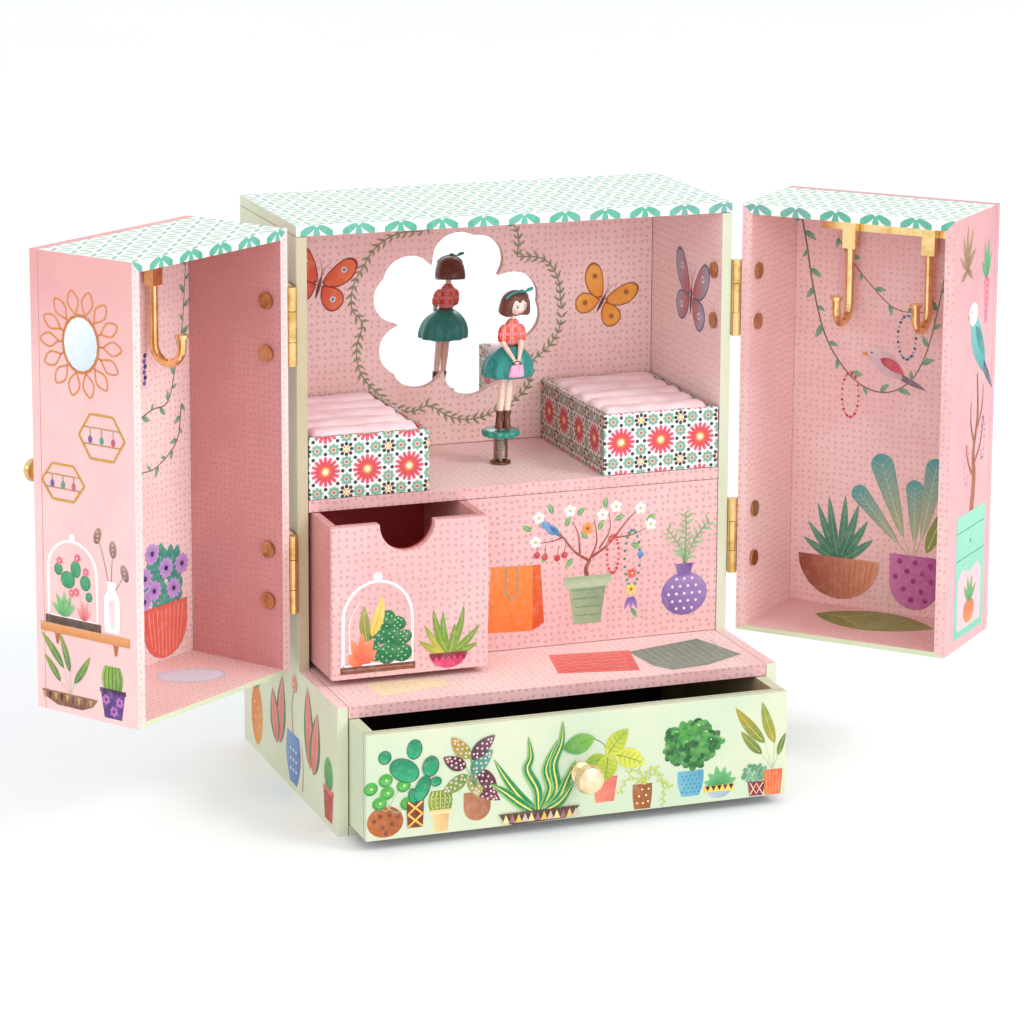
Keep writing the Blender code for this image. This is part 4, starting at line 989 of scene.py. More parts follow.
def paint_small_drawer():
    p = Print("small_drawer_paint", facing_front(SMALL_DRAWER_Y), "small_drawer", "pink_dotted_board")
    # glass bell over a little garden
    crown = arch(-64.5, 75.0, 13.6, 14.4, 13)
    p.glass([(-78.2, 57.2), (-50.8, 57.2), (-50.9, 70.0), *crown, (-78.1, 70.0)])
    p.oval(-64.4, 91.2, 1.9, 1.8, "#FDF6F3", "#EBD6D2")
    p.stroke([(-75.4, 62.0), (-75.6, 74.0), (-71.4, 82.0)], 0.45, "#FDF1EE")
    for u, v, ru, rv in ((-60.8, 74.0, 2.8, 3.4), (-56.6, 72.4, 2.2, 2.8), (-64.0, 68.0, 2.9, 3.8),
                         (-58.4, 66.8, 3.2, 3.8),
                         (-54.4, 66.8, 2.2, 3.0), (-65.6, 61.6, 2.6, 3.2), (-60.8, 61.0, 3.3, 3.7),
                         (-54.9, 60.8, 2.9, 3.4)):
        p.oval(u, v, ru + 0.5, rv + 0.5, "#1F6A42", "#2F8450", turn=20 * (u + 60))
        p.dots([(u + ru * a, v + rv * b) for a, b in
                ((-0.5, 0.5), (0.1, 0.7), (0.6, 0.4), (-0.1, 0.1), (-0.6, -0.3), (0.4, -0.3), (-0.1, -0.7))],
                0.36, "#A9D89A")
    p.blade((-68.8, 66.0), (-69.8, 80.2), 4.2, "#8A8A3E", "#A3A451", bend=0.06, vein="#C9C785")
    p.blade((-67.0, 68.0), (-62.6, 83.6), 4.4, "#E7C24E", "#F0D673", bend=-0.08, vein="#C79A38")
    tips = ((-76.0, 61.8), (-74.8, 67.4), (-70.6, 70.0), (-66.2, 67.8), (-65.0, 62.8), (-76.6, 59.5))
    p.spray((-70.2, 57.8), tips, 3.6, "#E2452A", "#F59A6E", bend=0.05)
    p.box(-79.2, -49.8, 54.3, 57.0, "#8A5440", "#6E4034")
    p.stroke([(-78.4, 55.8), (-50.6, 55.8)], 0.3, "#B98468", taper=1.0, per=2)
    # feathery plant in a scalloped bowl
    for tip in ((-46.2, 70.6), (-38.6, 75.2), (-30.4, 77.0), (-24.0, 69.0), (-48.4, 64.8), (-25.0, 62.0),
                (-42.6, 76.4), (-34.2, 70.0)):
        hue = "#E2C83E" if tip[0] < -44 else "#7FA03A"
        p.blade((-36.4, 58.0), tip, 2.9, hue, "#6E9A3E", bend=0.1 if tip[0] < -37 else -0.1, vein="#D9D45A")
    p.cup(-36.6, 53.2, 59.0, 15.0, "#E0487A", "#C92F62")
    p.box(-44.1, -29.1, 57.8, 59.2, "#7E1A2C", "#8E2236")
    for k in range(6):
        p.fill([(-43.8 + 2.45 * k, 57.9), (-41.6 + 2.45 * k, 57.9), (-42.7 + 2.45 * k, 56.2)], "#8E2236")
    p.make()


def paint_cover():
    p = Print("cover_paint", facing_front(COVER_Y), "cabinet", "pink_dotted_board")
    # paper bag
    p.fill([(6.6, 56.6), (11.4, 59.4), (9.8, 82.8), (6.4, 82.8)], "#D9501E", "#E2682E")
    p.fill([(-11.8, 57.2), (6.6, 56.6), (6.4, 82.8), (-10.6, 83.4)], "#F07A2E", "#F58E40")
    p.stroke([(-4.4, 83.0), (-4.4, 73.4), (-2.2, 69.6), (0.0, 73.4), (0.2, 83.0)], 0.6, "#8E9A86", taper=1.0)
    # small tree in a sage pot
    p.stroke([(29.6, 75.0), (28.6, 79.2), (30.2, 83.0)], 2.0, "#8C4034", "#A8584A", taper=0.7)
    for way, wide in (
        ([(30, 82.6), (24.0, 86.6), (18.0, 94.0), (12.4, 99.6)], 1.2),
        ([(19, 93), (14.4, 91.6), (9.0, 91.4)], 0.7),
        ([(26, 85.6), (25.4, 93.0), (23.0, 99.0)], 0.8), ([(30, 82.6), (33.0, 90.0), (32.0, 99.0)], 0.9),
        ([(31, 84), (38.0, 88.6), (45.0, 96.6), (49.0, 100.6)], 1.1),
        ([(40, 91), (46.8, 91.4), (53.6, 93.6)], 0.7),
        ([(34, 87), (38.4, 94.0), (38.2, 101.0)], 0.7),
    ):
        p.stroke(way, wide, "#9C4A3C", "#B4655A", taper=0.35)
    for u, v, turn in ((6.0, 96.6, 150), (20.0, 97.0, 60), (24.8, 101.2, 40), (28.6, 91.4, 110),
                       (22.8, 84.0, 230), (36.4, 103.2, 80), (40.6, 98.0, 20), (54.0, 96.8, 30),
                       (14.8, 102.6, 110), (12.0, 87.4, 250), (47.4, 88.0, -30), (33.8, 94.6, 60)):
        tip = (u + 4.6 * cos(radians(turn)), v + 4.6 * sin(radians(turn)))
        p.blade((u, v), tip, 2.1, *SPRIG, bend=0.08, vein="#CBE0A8")
    p.flowers(((9.0, 101.4), (21.8, 103.2), (7.6, 91.8), (35.4, 100.6), (41.0, 103.4), (51.2, 102.0),
               (55.6, 95.2)), 2.5, 5, "#FBEDE6", "#FFFFFF", "#E8B64A", 0.8)
    p.flower(29.2, 95.6, 2.7, 6, "#E8823C", "#F2A95C", "#A5442E", 0.7)
    # little bird
    p.blade((17.4, 94.6), (10.8, 99.0), 3.6, "#4E84B8", "#7CACD2", bend=0.1)
    p.oval(11.2, 98.6, 1.7, 1.6, "#5E92C4", "#8CB8DA")
    p.fill([(9.9, 98.8), (8.5, 98.3), (9.9, 98.0)], "#D89038")
    p.blade((13.6, 97.6), (18.2, 92.8), 1.6, "#35618F", "#4E84B8")
    p.dots([(10.8, 99.0)], 0.25, EYE)
    # cherries
    for u, v in ((8.2, 86.6), (11.4, 85.6), (16.6, 84.8), (19.6, 85.8)):
        p.stroke([(u, v + 1.0), (u + 0.6, v + 5.0)], 0.26, "#6B4A36", per=2)
        p.oval(u, v, 1.35, 1.35, "#B92C38", "#D8505A", count=12)
    p.pot(29.2, 57.4, 73.6, 11.2, 15.8, "#A3B591", "#7F9674", rim="#B7C6A4")
    p.box(19.4, 39.2, 73.2, 76.6, "#B9C8A6", "#9FB28E")
    for k in range(4):
        p.stroke([(23.0 + 0.5 * k, 71.0 - 3.4 * k), (35.4 - 0.5 * k, 71.0 - 3.4 * k)], 0.35, "#6F8766",
                 taper=1.0, per=2)
    # hanging beads
    for centre, wide, tall, hues in (((39.8, 84.4), 2.5, 7.6, ("#D2453C", "#E9899A")),
                                     ((48.0, 82.0), 3.2, 11.4, ("#3F8F6A", "#4E7FB4"))):
        for k in range(22):
            angle = 2 * pi * k / 22
            spot = (centre[0] + wide * cos(angle), centre[1] + tall * sin(angle))
            p.oval(*spot, 0.62, 0.62, hues[0], hues[1] if k % 3 == 0 else None, count=10)
    p.oval(51.4, 83.4, 1.3, 1.3, "#3F74B8", "#7FA8D8")
    p.flower(48.0, 76.0, 2.2, 6, "#D2404A", "#E87C7A", "#F2D468", 0.7)
    p.flower(47.6, 69.6, 2.5, 6, "#E9C24A", "#F5DE86", "#B0622E", 0.7)
    for du in (-1.8, 0.0, 1.8):
        p.blade((47.6 + du * 0.4, 66.6), (47.6 + du * 1.5, 61.4), 1.6, "#7B5AA8", "#A887C8")
    p.blade((47.8, 62.0), (50.4, 57.6), 1.7, *SPRIG)
    # dotted vase with ferns
    for way in ([(70, 76), (68.6, 84.0), (62.6, 92.6)], [(70, 76), (73.6, 86.0), (80.4, 94.6)],
                [(70, 76), (70.6, 88.0), (70.4, 98.8)]):
        p.vine(way, 0.45, "#5E8A58", "#7FB07A", "#A9CC96", 4.4, 1.15, lean=62, skip=4.0, wide=0.24)
    p.oval(70.2, 65.8, 9.8, 8.8, "#7E5C9C", "#A383BC", axis=(0.6, 1))
    p.pot(70.0, 73.0, 78.0, 5.0, 7.6, "#8A68A8", "#6F4F8E")
    p.dots([(70.2 + 3.3 * i + 1.6 * (j % 2), 65.8 + 3.0 * j)
            for i in (-3, -2, -1, 0, 1, 2) for j in (-2, -1, 0, 1, 2)
            if ((3.3 * i + 1.6 * (j % 2)) / 8.6) ** 2 + (3.0 * j / 7.6) ** 2 < 0.95], 0.62, "#E8DDF0")
    p.make()


def paint_lining():
    p = Print("lining_paint", facing_front(LINING_Y), "cabinet", "pink_dotted_board")
    # a vine around the mirror's five petals, each of two round bumps
    first, between, bump_turn, bump_at, bump_radius = 77.7, 72, 9.2, 24.0, 20.6
    notch_deep, notch_wide = 4.5, radians(7.5)
    angle = np.radians(np.arange(0, 360, 2))

    def off(middle):
        return (angle - radians(middle) + pi) % (2 * pi) - pi

    reach = np.zeros(len(angle))
    for petal in range(5):
        for bump in (-bump_turn, bump_turn):
            turn = off(first + between * petal + bump)
            under = bump_radius**2 - (bump_at * np.sin(turn)) ** 2
            span = bump_at * np.cos(turn) + np.sqrt(np.maximum(under, 0.0))
            reach = np.maximum(reach, np.where((under > 0) & (np.cos(turn) > 0), span, 0.0))
        notch = off(first + between / 2 + between * petal)
        reach -= notch_deep * np.exp(-((notch / notch_wide) ** 2))
    ring = np.stack([1.02 * reach * np.cos(angle) - 0.6, 168.4 + 0.98 * reach * np.sin(angle)], 1)
    run = run_along(ring)
    p.stroke(ring[::3], 0.5, "#7C8066", taper=1.0, per=3)
    for index, at in enumerate(np.arange(0.0, run[-1] - 1.0, 3.2)):
        spot = np.array([np.interp(at, run, ring[:, i]) for i in (0, 1)])
        ahead = np.array([np.interp(at + 1.5, run, ring[:, i]) for i in (0, 1)]) - spot
        heading = atan2(ahead[1], ahead[0])
        for lean in (-42, 42):
            way = heading + radians(lean)
            tip = spot + (3.3 + 0.7 * sin(index * 1.7)) * np.array([cos(way), sin(way)])
            p.blade(spot, tip, 1.05, "#88876A", "#A9A482", bend=0.08)
    butterfly(p, (-57.6, 184.0), 13.5, 74.0, "#D9502E", "#F07A44", "#8E2E22", "#BFE0EE")
    butterfly(p, (62.2, 170.4), 12.5, 62.0, "#F09A34", "#F7B24A", "#A85A26", "#B0683A")
    p.make()


UPPER_WING = ((0.12, 0.06), (0.40, 0.16), (0.78, 0.40), (1.00, 0.66), (0.98, 0.92), (0.72, 1.00),
              (0.36, 0.88), (0.08, 0.56), (0.0, 0.2))
LOWER_WING = ((0.02, 0.08), (0.06, 0.42), (-0.02, 0.72), (-0.26, 0.86), (-0.52, 0.78), (-0.66, 0.58),
              (-0.60, 0.34), (-0.34, 0.14))


def butterfly(p, middle, span, turn, wing, far, edge, spot):
    """Open wings with rounded outlines, seen from above, on either side of a slim body."""
    middle, aim = np.array(middle), radians(turn)
    ahead = span * np.array([cos(aim), sin(aim)])
    aside = span * np.array([-sin(aim), cos(aim)])
    for side in (-1, 1):
        for outline, eye in ((UPPER_WING, (0.62, 0.62)), (LOWER_WING, (-0.30, 0.52))):
            knots = np.array([middle + x * ahead + side * y * aside for x, y in outline])
            ring = smooth_path([*knots, knots[0]], 4)
            p.fill(ring, edge)
            centre = ring.mean(axis=0)
            p.fill(centre + (ring - centre) * 0.88, wing, far, tuple(side * aside))
            at = middle + eye[0] * ahead + side * eye[1] * aside
            p.oval(*at, span * 0.09, span * 0.09, spot, count=12)
            p.oval(*at, span * 0.04, span * 0.04, edge, count=10)
        p.stroke([middle + 0.3 * ahead, middle + 0.55 * ahead + side * 0.06 * aside,
                  middle + 0.78 * ahead + side * 0.2 * aside],
                 span * 0.022, edge)
    p.blade(middle - 0.42 * ahead, middle + 0.34 * ahead, span * 0.11, "#5A2E22", "#7A4030", fullness=1.0)


def paint_right_wall():
    p = Print("right_wall_paint", lambda u, v, lift: (WALL_X - lift, u, v), "cabinet", "pink_dotted_board")
    butterfly(p, (30.0, 178.0), 17.0, 96.0, "#C9605A", "#A4B2C6", "#6A7488", "#E9DDE2")
    p.make()


def paint_rugs():
    p = Print("shelf_rugs", lambda u, v, lift: (u, v, SHELF_Z + lift), "cabinet", "pink_dotted_board")
    p.fill([(-69, -23), (-40, -26), (-39, -35), (-68, -40)], "#FFF2CC", "#FBE9BC")
    p.dots([(-64 + 4.4 * i, -27.4 - 4.0 * j - 0.2 * i) for i in range(6) for j in range(3)], 0.35, "#D9BE8C")
    p.fill([(9, -11), (41, -15), (35, -41), (4, -35)], "#E8605F", "#EE7A70")
    for row in range(6):
        line = [(8.4 + 3.2 * k - 0.9 * row,
                 -13.4 - 4.2 * row - 0.4 * k + (0.9 if k % 2 else -0.9)) for k in range(10)]
        p.line(line, 0.4, "#F8A79A")
    p.fill([(40, -17), (72, -9), (80, -34), (62, -43), (47, -44.6), (42, -37)], "#8C9C8C", "#7E9082")
    for k in range(11):
        u = 44.0 + 3.2 * k
        p.stroke([(u, -16.8 + 0.4 * k), (u + 0.6 - 0.1 * k, -28.0),
                  (u + 0.8, -39.0 - 0.4 * min(k, 5) + 0.9 * max(k - 5, 0))],
                 0.35, "#A9B5A2", taper=1.0, per=2)
    p.make()


def paint_base_side(side):
    sign = SIDE[side]
    p = Print(f"{side}_base_side_paint", lambda u, v, lift: (sign * (SIDE_X + lift), u, v), "cabinet",
              "cream_paper_board")
    p.oval(58.0, 15.5, 8.0, 12.5, "#E39A44", "#D8742E", axis=(1, 0.5))
    p.dots([(55, 11), (60, 14), (57, 18), (61, 20), (54, 16)], 0.7, "#F2C07A")
    p.spray((58.0, 26.6), ((52.4, 32.0), (58.4, 34.0), (64.2, 31.2)), 3.0, *SPRIG)
    for base, tip in (((26.5, 13.0), (22.0, 42.0)), ((30.0, 12.0), (36.0, 33.0)),
                      ((-14.0, 15.0), (-11.0, 47.0)), ((-18.0, 14.0), (-24.0, 40.0))):
        p.blade(base, tip, 12.5, "#DC7468", "#E88E80", edge="#3E7A54", vein="#C25A50")
    p.pot(8.0, 2.6, 22.6, 9.0, 16.0, "#5C78B0", "#7F9AC8", belly=3.2)
    p.dots([(8 + 3.6 * i, 8 + 4.0 * j) for i in (-1, 0, 1) for j in (0, 1, 2)], 0.7, "#DCE8F0")
    p.stroke([(8.0, 22.0), (9.6, 33.0), (6.0, 43.0)], 0.9, "#C9543C")
    p.flower(5.8, 43.0, 3.8, 7, "#E07A62", "#F0A68C", "#F2D468", 0.6)
    p.stroke([(-4.0, 3.0), (-5.0, 12.0), (-3.0, 21.0)], 1.0, "#C9543C")
    p.oval(-37.6, 20.6, 5.6, 6.6, "#4C9458", "#74B565")
    for k in (-3.2, -1.1, 1.1, 3.2):
        p.stroke([(-37.6 + k * 0.5, 26.0), (-37.6 + k, 20.6), (-37.6 + k * 0.8, 15.6)], 0.35, "#2F6B40")
    p.pot(-37.4, 2.6, 15.0, 9.0, 12.4, "#C34B3C", "#A23A34", rim="#D4695A")
    p.make()


def paint_left_door():
    p = Print("left_door_edge_paint", door_edge("left"), "left_door", "pink_dotted_board")
    # looped cane mirror
    for k in range(14):
        angle = 2 * pi * k / 14
        out = np.array([cos(angle) * 0.98, sin(angle)])
        side = np.array([-out[1], out[0]])
        hub = np.array([24.4, 188.4])
        loop = [hub + 10.6 * out, hub + 15.4 * out + 2.6 * side, hub + 19.6 * out,
                hub + 15.4 * out - 2.6 * side, hub + 10.6 * out]
        p.stroke(loop, 0.75, "#D9884E", "#C0703C", taper=1.0, per=4)
        p.stroke([hub + 7.6 * out, hub + 11.4 * out], 0.8, "#C0703C", per=2)
    p.oval(24.4, 188.4, 9.0, 11.0, "#C97A44")
    p.oval(24.4, 188.4, 7.8, 9.8, "#D4E3EA", "#EEF4F6", axis=(1, 1))
    # six-sided wire frames with earrings
    for (u, v), wide, tall in (((15.2, 155.4), 10.8, 9.4), ((34.0, 136.4), 10.2, 7.6)):
        corner = [np.array([u + wide * cos(radians(a)),
                            v + tall * sin(radians(a))]) for a in range(0, 360, 60)]
        for one, two in zip(corner, [*corner[1:], corner[0]]):
            p.line([one, two], 0.9, "#D09A3E")
        for level in (-0.3, 0.35):
            p.line([(u - wide * 0.8, v + tall * level), (u + wide * 0.8, v + tall * level)], 0.4, "#C08A34")
        for k, hue in zip((-0.5, 0.0, 0.5), ("#C65A7A", "#4E9A8C", "#7B5AA8")):
            p.stroke([(u + wide * k, v + tall * 0.3), (u + wide * k, v + tall * 0.02)], 0.3, "#8A6A3A", per=1)
            p.oval(u + wide * k, v - tall * 0.12, 0.9, 1.4, hue, count=10)
    # glass bell
    p.glass([(42.0, 86.0), (42.0, 104.0), *arch(30.4, 104.0, 11.6, 11.0, 11), (18.8, 104.0), (18.6, 86.0)])
    p.oval(30.2, 116.4, 1.4, 1.5, "#FDF6F3", count=12)
    for u, v, ru, rv in ((32.6, 100.4, 3.4, 3.2), (28.7, 104.9, 2.4, 3.2), (37.0, 103.8, 2.0, 2.3),
                         (24.2, 100.4, 2.5, 2.9), (22.6, 95.4, 1.6, 1.8)):
        p.oval(u, v, ru, rv, "#1F6E4C")
        p.oval(u, v, ru - 0.25, rv - 0.25, "#2F9463", "#4FA874")
    p.flowers(((27.8, 109.2), (36.4, 107.0), (23.8, 104.6), (30.8, 95.8), (28.6, 96.4)),
              1.7, 6, "#E04A62", "#F2879A", "#F9D0C8", 0.7)
    tips = ((40.6, 91.0), (38.4, 94.6), (34.6, 96.0), (31.4, 94.4), (29.4, 91.4), (36.6, 92.6), (33.0, 92.4))
    p.spray((34.8, 86.4), tips, 2.4, "#3F9A58", "#93D088", bend=0.04)
    tips = ((21.6, 90.4), (23.4, 93.4), (26.4, 93.8), (28.4, 90.6))
    p.spray((25.2, 86.2), tips, 1.9, "#D8434E", "#F6B6AE", bend=0.04)
    p.box(17.0, 43.6, 83.0, 86.0, "#4E3A34", "#6B5046")
    # bottle with seed heads
    for way, hue in (([(12, 97), (15.0, 110.0), (18.0, 119.0)], "#8A5A48"),
                     ([(12, 97), (11.6, 106.0), (10.8, 115.0)], "#9A6A74"),
                     ([(12, 97), (8.4, 102.0), (5.4, 107.0)], "#7A5668")):
        p.stroke(way, 0.4, "#8C7A5A")
        p.oval(*way[-1], 1.7, 3.2, hue, "#B78A7A", turn=(12 - way[-1][0]) * -3)
        p.dots([(way[-1][0], way[-1][1] + k) for k in (-1.6, 0.0, 1.6)], 0.35, "#E3C9B4")
    p.fill([(8.4, 84.0), (14.8, 84.0), (15.4, 87.0), (15.2, 97.0), (13.4, 100.0), (13.8, 103.0),
            (9.4, 103.0), (9.8, 100.0), (8.0, 97.0), (7.8, 87.0)], "#FFFFFF")
    p.fill([(10.2, 85.6), (12.8, 85.6), (13.0, 96.0), (10.2, 96.0)], "#F9DEDD", "#F6D3D3")
    p.box(3.4, 46.0, 79.6, 83.0, "#DB8A4E", "#E6A268")
    for u in (10.0, 38.0):
        p.fill([(u - 1.2, 79.6), (u + 1.2, 79.6), (u + 0.4, 75.6), (u - 0.4, 75.6)], "#B9683A")
    # potted plants under the shelf
    for base, tip, width in (((35.2, 66.6), (46.0, 79.0), 3.2), ((32.3, 65.8), (36.8, 79.6), 2.6),
                             ((37.0, 61.4), (44.4, 70.6), 2.8),
                             ((30.3, 61.7), (22.4, 73.2), 3.0)):
        p.stroke([(32.0, 57.0), base], 0.3, "#C9C29A", per=2)
        p.blade(base, tip, width, "#3F7A4A", "#8FA43E", bend=0.04, vein="#B9C25A")
    p.fill([(19.0, 57.4), (46.0, 57.4), (43.6, 54.4), (38.4, 52.4), (26.6, 52.4), (21.4, 54.4)],
           "#7D4E3A", "#9A6A4A")
    for k in range(9):
        p.fill([(21.6 + 2.8 * k, 56.8), (23.4 + 2.8 * k, 56.8), (22.5 + 2.8 * k, 53.8)],
               "#4E2E26" if k % 2 else "#C79A6A")
    p.pot(12.0, 62.0, 71.4, 8.0, 7.4, "#6E9A3C", "#9DB948", belly=1.2)
    for k in (-3.4, -1.7, 0.0, 1.7, 3.4):
        p.stroke([(12.0 + k * 0.8, 71.0), (12.0 + k * 1.1, 67.0), (12.0 + k, 62.6)],
                 0.35, "#3F6E34", taper=1.0)
    p.pot(11.8, 51.8, 62.0, 8.2, 11.6, "#6A3F8C", "#523074")
    p.box(5.6, 18.0, 61.2, 62.8, "#4A2C4E")
    p.flowers(((8.6, 58.4), (15.0, 58.6), (11.4, 54.6)),
              1.9, 6, "#A552A8", "#C47CC0", "#4A2058", 0.8)
    p.make()

    p = Print("left_door_inside_paint", door_inside("left"), "left_door", "pink_dotted_board")
    p.vine([(36.5, 147.0), (26.0, 150.6), (17.0, 152.0), (12.4, 164.0), (8.0, 180.0), (5.4, 205.0)], 0.6,
           *VINE, 5.4, 5.2)
    p.vine([(9.0, 150.0), (12.0, 136.0), (24.0, 128.0), (34.0, 127.6)], 0.6, *VINE, 5.0, 4.6)
    for k in range(6):
        p.oval(29.6 + 0.5 * (k % 2), 172.0 - 2.1 * k, 1.0, 1.0, "#7B5AA8" if k % 2 else "#4E3A78", count=10)
    for _, away, turn in seeds(36):
        u, v = 20.4 + 12.0 * away * cos(turn), 84.6 + 12.6 * away * sin(turn)
        p.blade((0.8 * u + 4.0, v - 3.4), (u, v + 2.0), 3.8, "#2F8A80", "#5BAA98", bend=0.06)
    p.flowers(((32.2, 77.3), (27.3, 95.1), (19.4, 88.0), (10.3, 87.9), (15.2, 79.2), (26.6, 80.5),
               (31.7, 86.3)), 4.3, 11, "#A678C8", "#CBA6E0", "#3A1E52", 0.5)
    p.cup(20.0, 53.0, 74.0, 25.0, "#EA7462", "#DC5C50")
    for k in range(-4, 5):
        reach = sqrt(1 - (k / 5) ** 2)
        p.stroke([(20.0 + 2.5 * k, 72.6), (20.0 + 2.3 * k, 66.0), (20.0 + 2.0 * k, 66.0 - 12.0 * reach)],
                 0.35, "#F7A592", taper=1.0, per=2)
    p.make()

    p = Print("left_door_floor_paint", door_floor("left"), "left_door", "pink_dotted_board")
    p.oval(30.0, 23.5, 13.2, 8.6, "#C9D5E8", turn=42, count=28)
    p.oval(30.0, 23.5, 12.3, 7.8, "#E6ECF7", "#DCE5F2", turn=42, count=28)
    p.make()


def paint_right_door():
    p = Print("right_door_inside_paint", door_inside("right"), "right_door", "pink_dotted_board")
    p.vine([(6.0, 211.0), (8.8, 197.0), (12.0, 180.0), (17.0, 163.0), (24.0, 151.6), (33.0, 143.6),
            (44.0, 141.6), (54.0, 147.4),
            (60.4, 159.6), (64.4, 176.0), (67.0, 190.0)], 0.75, *HEDGE, 6.4, 7.6)
    p.vine([(22.0, 202.0), (28.0, 193.4), (36.0, 184.6), (47.0, 175.6), (60.0, 175.2)], 0.6, *HEDGE, 5.4, 8.4)
    p.beads(52.0, 164.6, 3.8, 8.8, 26, 0.6, ("#2F4F66", "#8FA6C0"))
    p.beads(28.6, 139.0, 3.6, 9.0, 26, 0.6, ("#C0303C", "#E8808A"))
    # bird on the vine
    p.blade((47.0, 149.6), (60.8, 144.0), 2.6, "#6E5A66", "#8E7A86")
    p.blade((50.6, 147.6), (36.0, 157.0), 8.6, "#C9A9AE", "#DDBDC0", bend=-0.1, fullness=1.1)
    p.oval(38.4, 156.6, 3.2, 3.1, "#D3B3B8", "#E3C9CB")
    p.blade((41.0, 155.0), (51.4, 149.2), 4.4, "#B43C46", "#D8626A", bend=0.1)
    p.fill([(35.6, 157.4), (32.8, 156.2), (35.6, 155.6)], "#D8903C")
    p.dots([(37.4, 157.2)], 0.42, EYE)
    # aloe in a wooden bowl
    for tip in ((15.6, 93.6), (27.6, 98.2), (37.6, 88.6), (11.6, 85.4), (40.0, 81.0), (20.6, 97.0),
                (33.4, 95.0), (9.8, 78.6)):
        p.blade((25.4, 70.0), tip, 3.6, "#2F6E56", "#5F9A7E", bend=0.04 if tip[0] < 25 else -0.04,
                vein="#8FBBA0")
    p.cup(25.3, 54.6, 71.8, 35.0, "#8E4434", "#E09A76")
    for k in range(-6, 7):
        reach = sqrt(1 - (k / 7) ** 2)
        p.line([(25.3 + 2.45 * k, 71.0), (25.3 + 2.2 * k, 71.6 - 15.8 * reach)], 0.22, "#A85A42")
    # big leaves in a dotted pot
    for way, tip, width in (((52.4, 84.0), (41.6, 116.4), 10.0), ((57.4, 82.0), (57.0, 107.4), 7.6),
                            ((60.4, 84.0), (66.6, 117.0), 9.0), ((50.4, 81.0), (31.4, 101.8), 7.4)):
        p.stroke([(57.0, 74.0), way], 0.5, "#B9B78A", per=2)
        p.paddle(way, tip, width, "#B9B084", "#4F9C9C", "#B4CDB4")
    p.blade((62.4, 78.0), (70.6, 98.6), 5.6, "#8F9A4A", "#6F8A3E", vein="#D5E0A8")
    p.cup(57.6, 54.2, 76.4, 21.0, "#D07CAE", "#AE4C90")
    for u, v in ((51.4, 73.6), (58.0, 73.8), (64.6, 73.0), (54.6, 69.8), (61.2, 69.6), (49.8, 67.0),
                 (57.4, 66.0), (64.8, 66.4),
                 (53.2, 62.4), (60.6, 62.0), (56.6, 58.2), (62.6, 58.6)):
        p.oval(u, v, 1.15, 1.15, "#96347A", count=12)
    p.make()

    p = Print("right_door_floor_paint", door_floor("right"), "right_door", "pink_dotted_board")
    p.blade((22.0, 28.6), (72.0, 30.0), 27.0, "#7C8446", "#98A05C", fullness=0.95)
    for k in range(-3, 4):
        p.stroke([(28.0 + 3.4 * abs(k) * 0.6, 28.8), (45.0, 29.2 + 3.2 * k),
                  (66.0 - 4.0 * abs(k), 29.8 + 2.2 * k)], 0.45, "#B4BC7C", taper=1.0)
    p.make()

    p = Print("right_door_edge_paint", door_edge("right"), "right_door", "pink_dotted_board")
    tips = ((5.6, 206.0), (9.0, 214.0), (14.0, 217.0), (19.4, 214.6), (23.0, 207.0), (8.0, 196.0),
            (20.0, 195.6))
    p.spray((14.4, 200.0), tips, 2.4, "#8A6A4E", "#B5946C", bend=0.08)
    tips = ((40.4, 203.0), (37.6, 209.0), (33.2, 207.4), (30.4, 200.6))
    p.spray((36.0, 193.4), tips, 2.8, "#2F8F5E", "#6FB57C", bend=0.05)
    for k in range(7):
        for side in (-1, 1):
            p.blade((36.0, 193.4 - 2.5 * k), (36.0 + side * (3.6 - 0.35 * k), 190.6 - 2.5 * k), 1.8,
                    "#DB5C86", "#F090AC")
    p.blade((31.0, 163.6), (45.6, 148.0), 3.6, "#3A4654", "#5E7080")
    p.blade((35.0, 156.4), (21.0, 183.0), 11.0, "#3E9A98", "#7CC4BC", bend=0.04, fullness=1.15)
    p.oval(22.0, 181.4, 4.6, 4.6, "#F0F0EA", "#FFFFFF")
    p.blade((25.0, 176.0), (36.6, 160.0), 5.2, "#2E7C80", "#57A8A4", bend=0.08)
    p.dots([(20.6, 182.4)], 0.5, EYE)
    p.fill([(17.8, 181.6), (15.4, 180.0), (18.4, 179.6)], "#E0A048")
    p.stroke([(26.0, 102.6), (27.8, 116.0), (26.4, 126.0), (30.0, 140.0), (28.4, 157.0)],
             4.6, *BARK, taper=0.25)
    for way in ([(27.4, 116.0), (21.0, 123.0), (18.0, 131.0)], [(27.0, 121.0), (33.6, 128.0), (37.0, 138.0)],
                [(28.8, 134.0), (34.4, 142.0), (35.6, 151.0)], [(27.2, 129.0), (22.8, 138.0), (22.4, 147.0)]):
        p.stroke(way, 1.8, *BARK, taper=0.25)
    p.beads(19.4, 122.0, 2.3, 7.6, 20, 0.5, ("#D9605A", "#E99A86"))
    p.beads(36.2, 130.0, 2.1, 8.4, 20, 0.5, ("#5E5A86", "#B98AA0"))
    p.box(10.4, 41.6, 54.0, 103.0, "#7FCBAE", "#98D8BE")
    p.fill([(13.4, 57.0), (38.6, 57.0), (38.6, 77.0), (34.0, 81.0), (26.0, 78.4), (18.0, 81.0), (13.4, 77.0)],
           "#F2C4C8")
    p.line([(11.0, 96.4), (41.0, 96.4)], 0.5, "#4FA88C")
    p.line([(11.0, 85.4), (41.0, 85.4)], 0.5, "#4FA88C")
    p.oval(26.0, 63.0, 6.0, 5.0, "#E98F4C", "#D2603A")
    p.spray((26.0, 66.6), ((19.6, 74.0), (24.0, 77.0), (29.0, 76.6), (33.4, 72.4)), 2.8, *SPRIG)
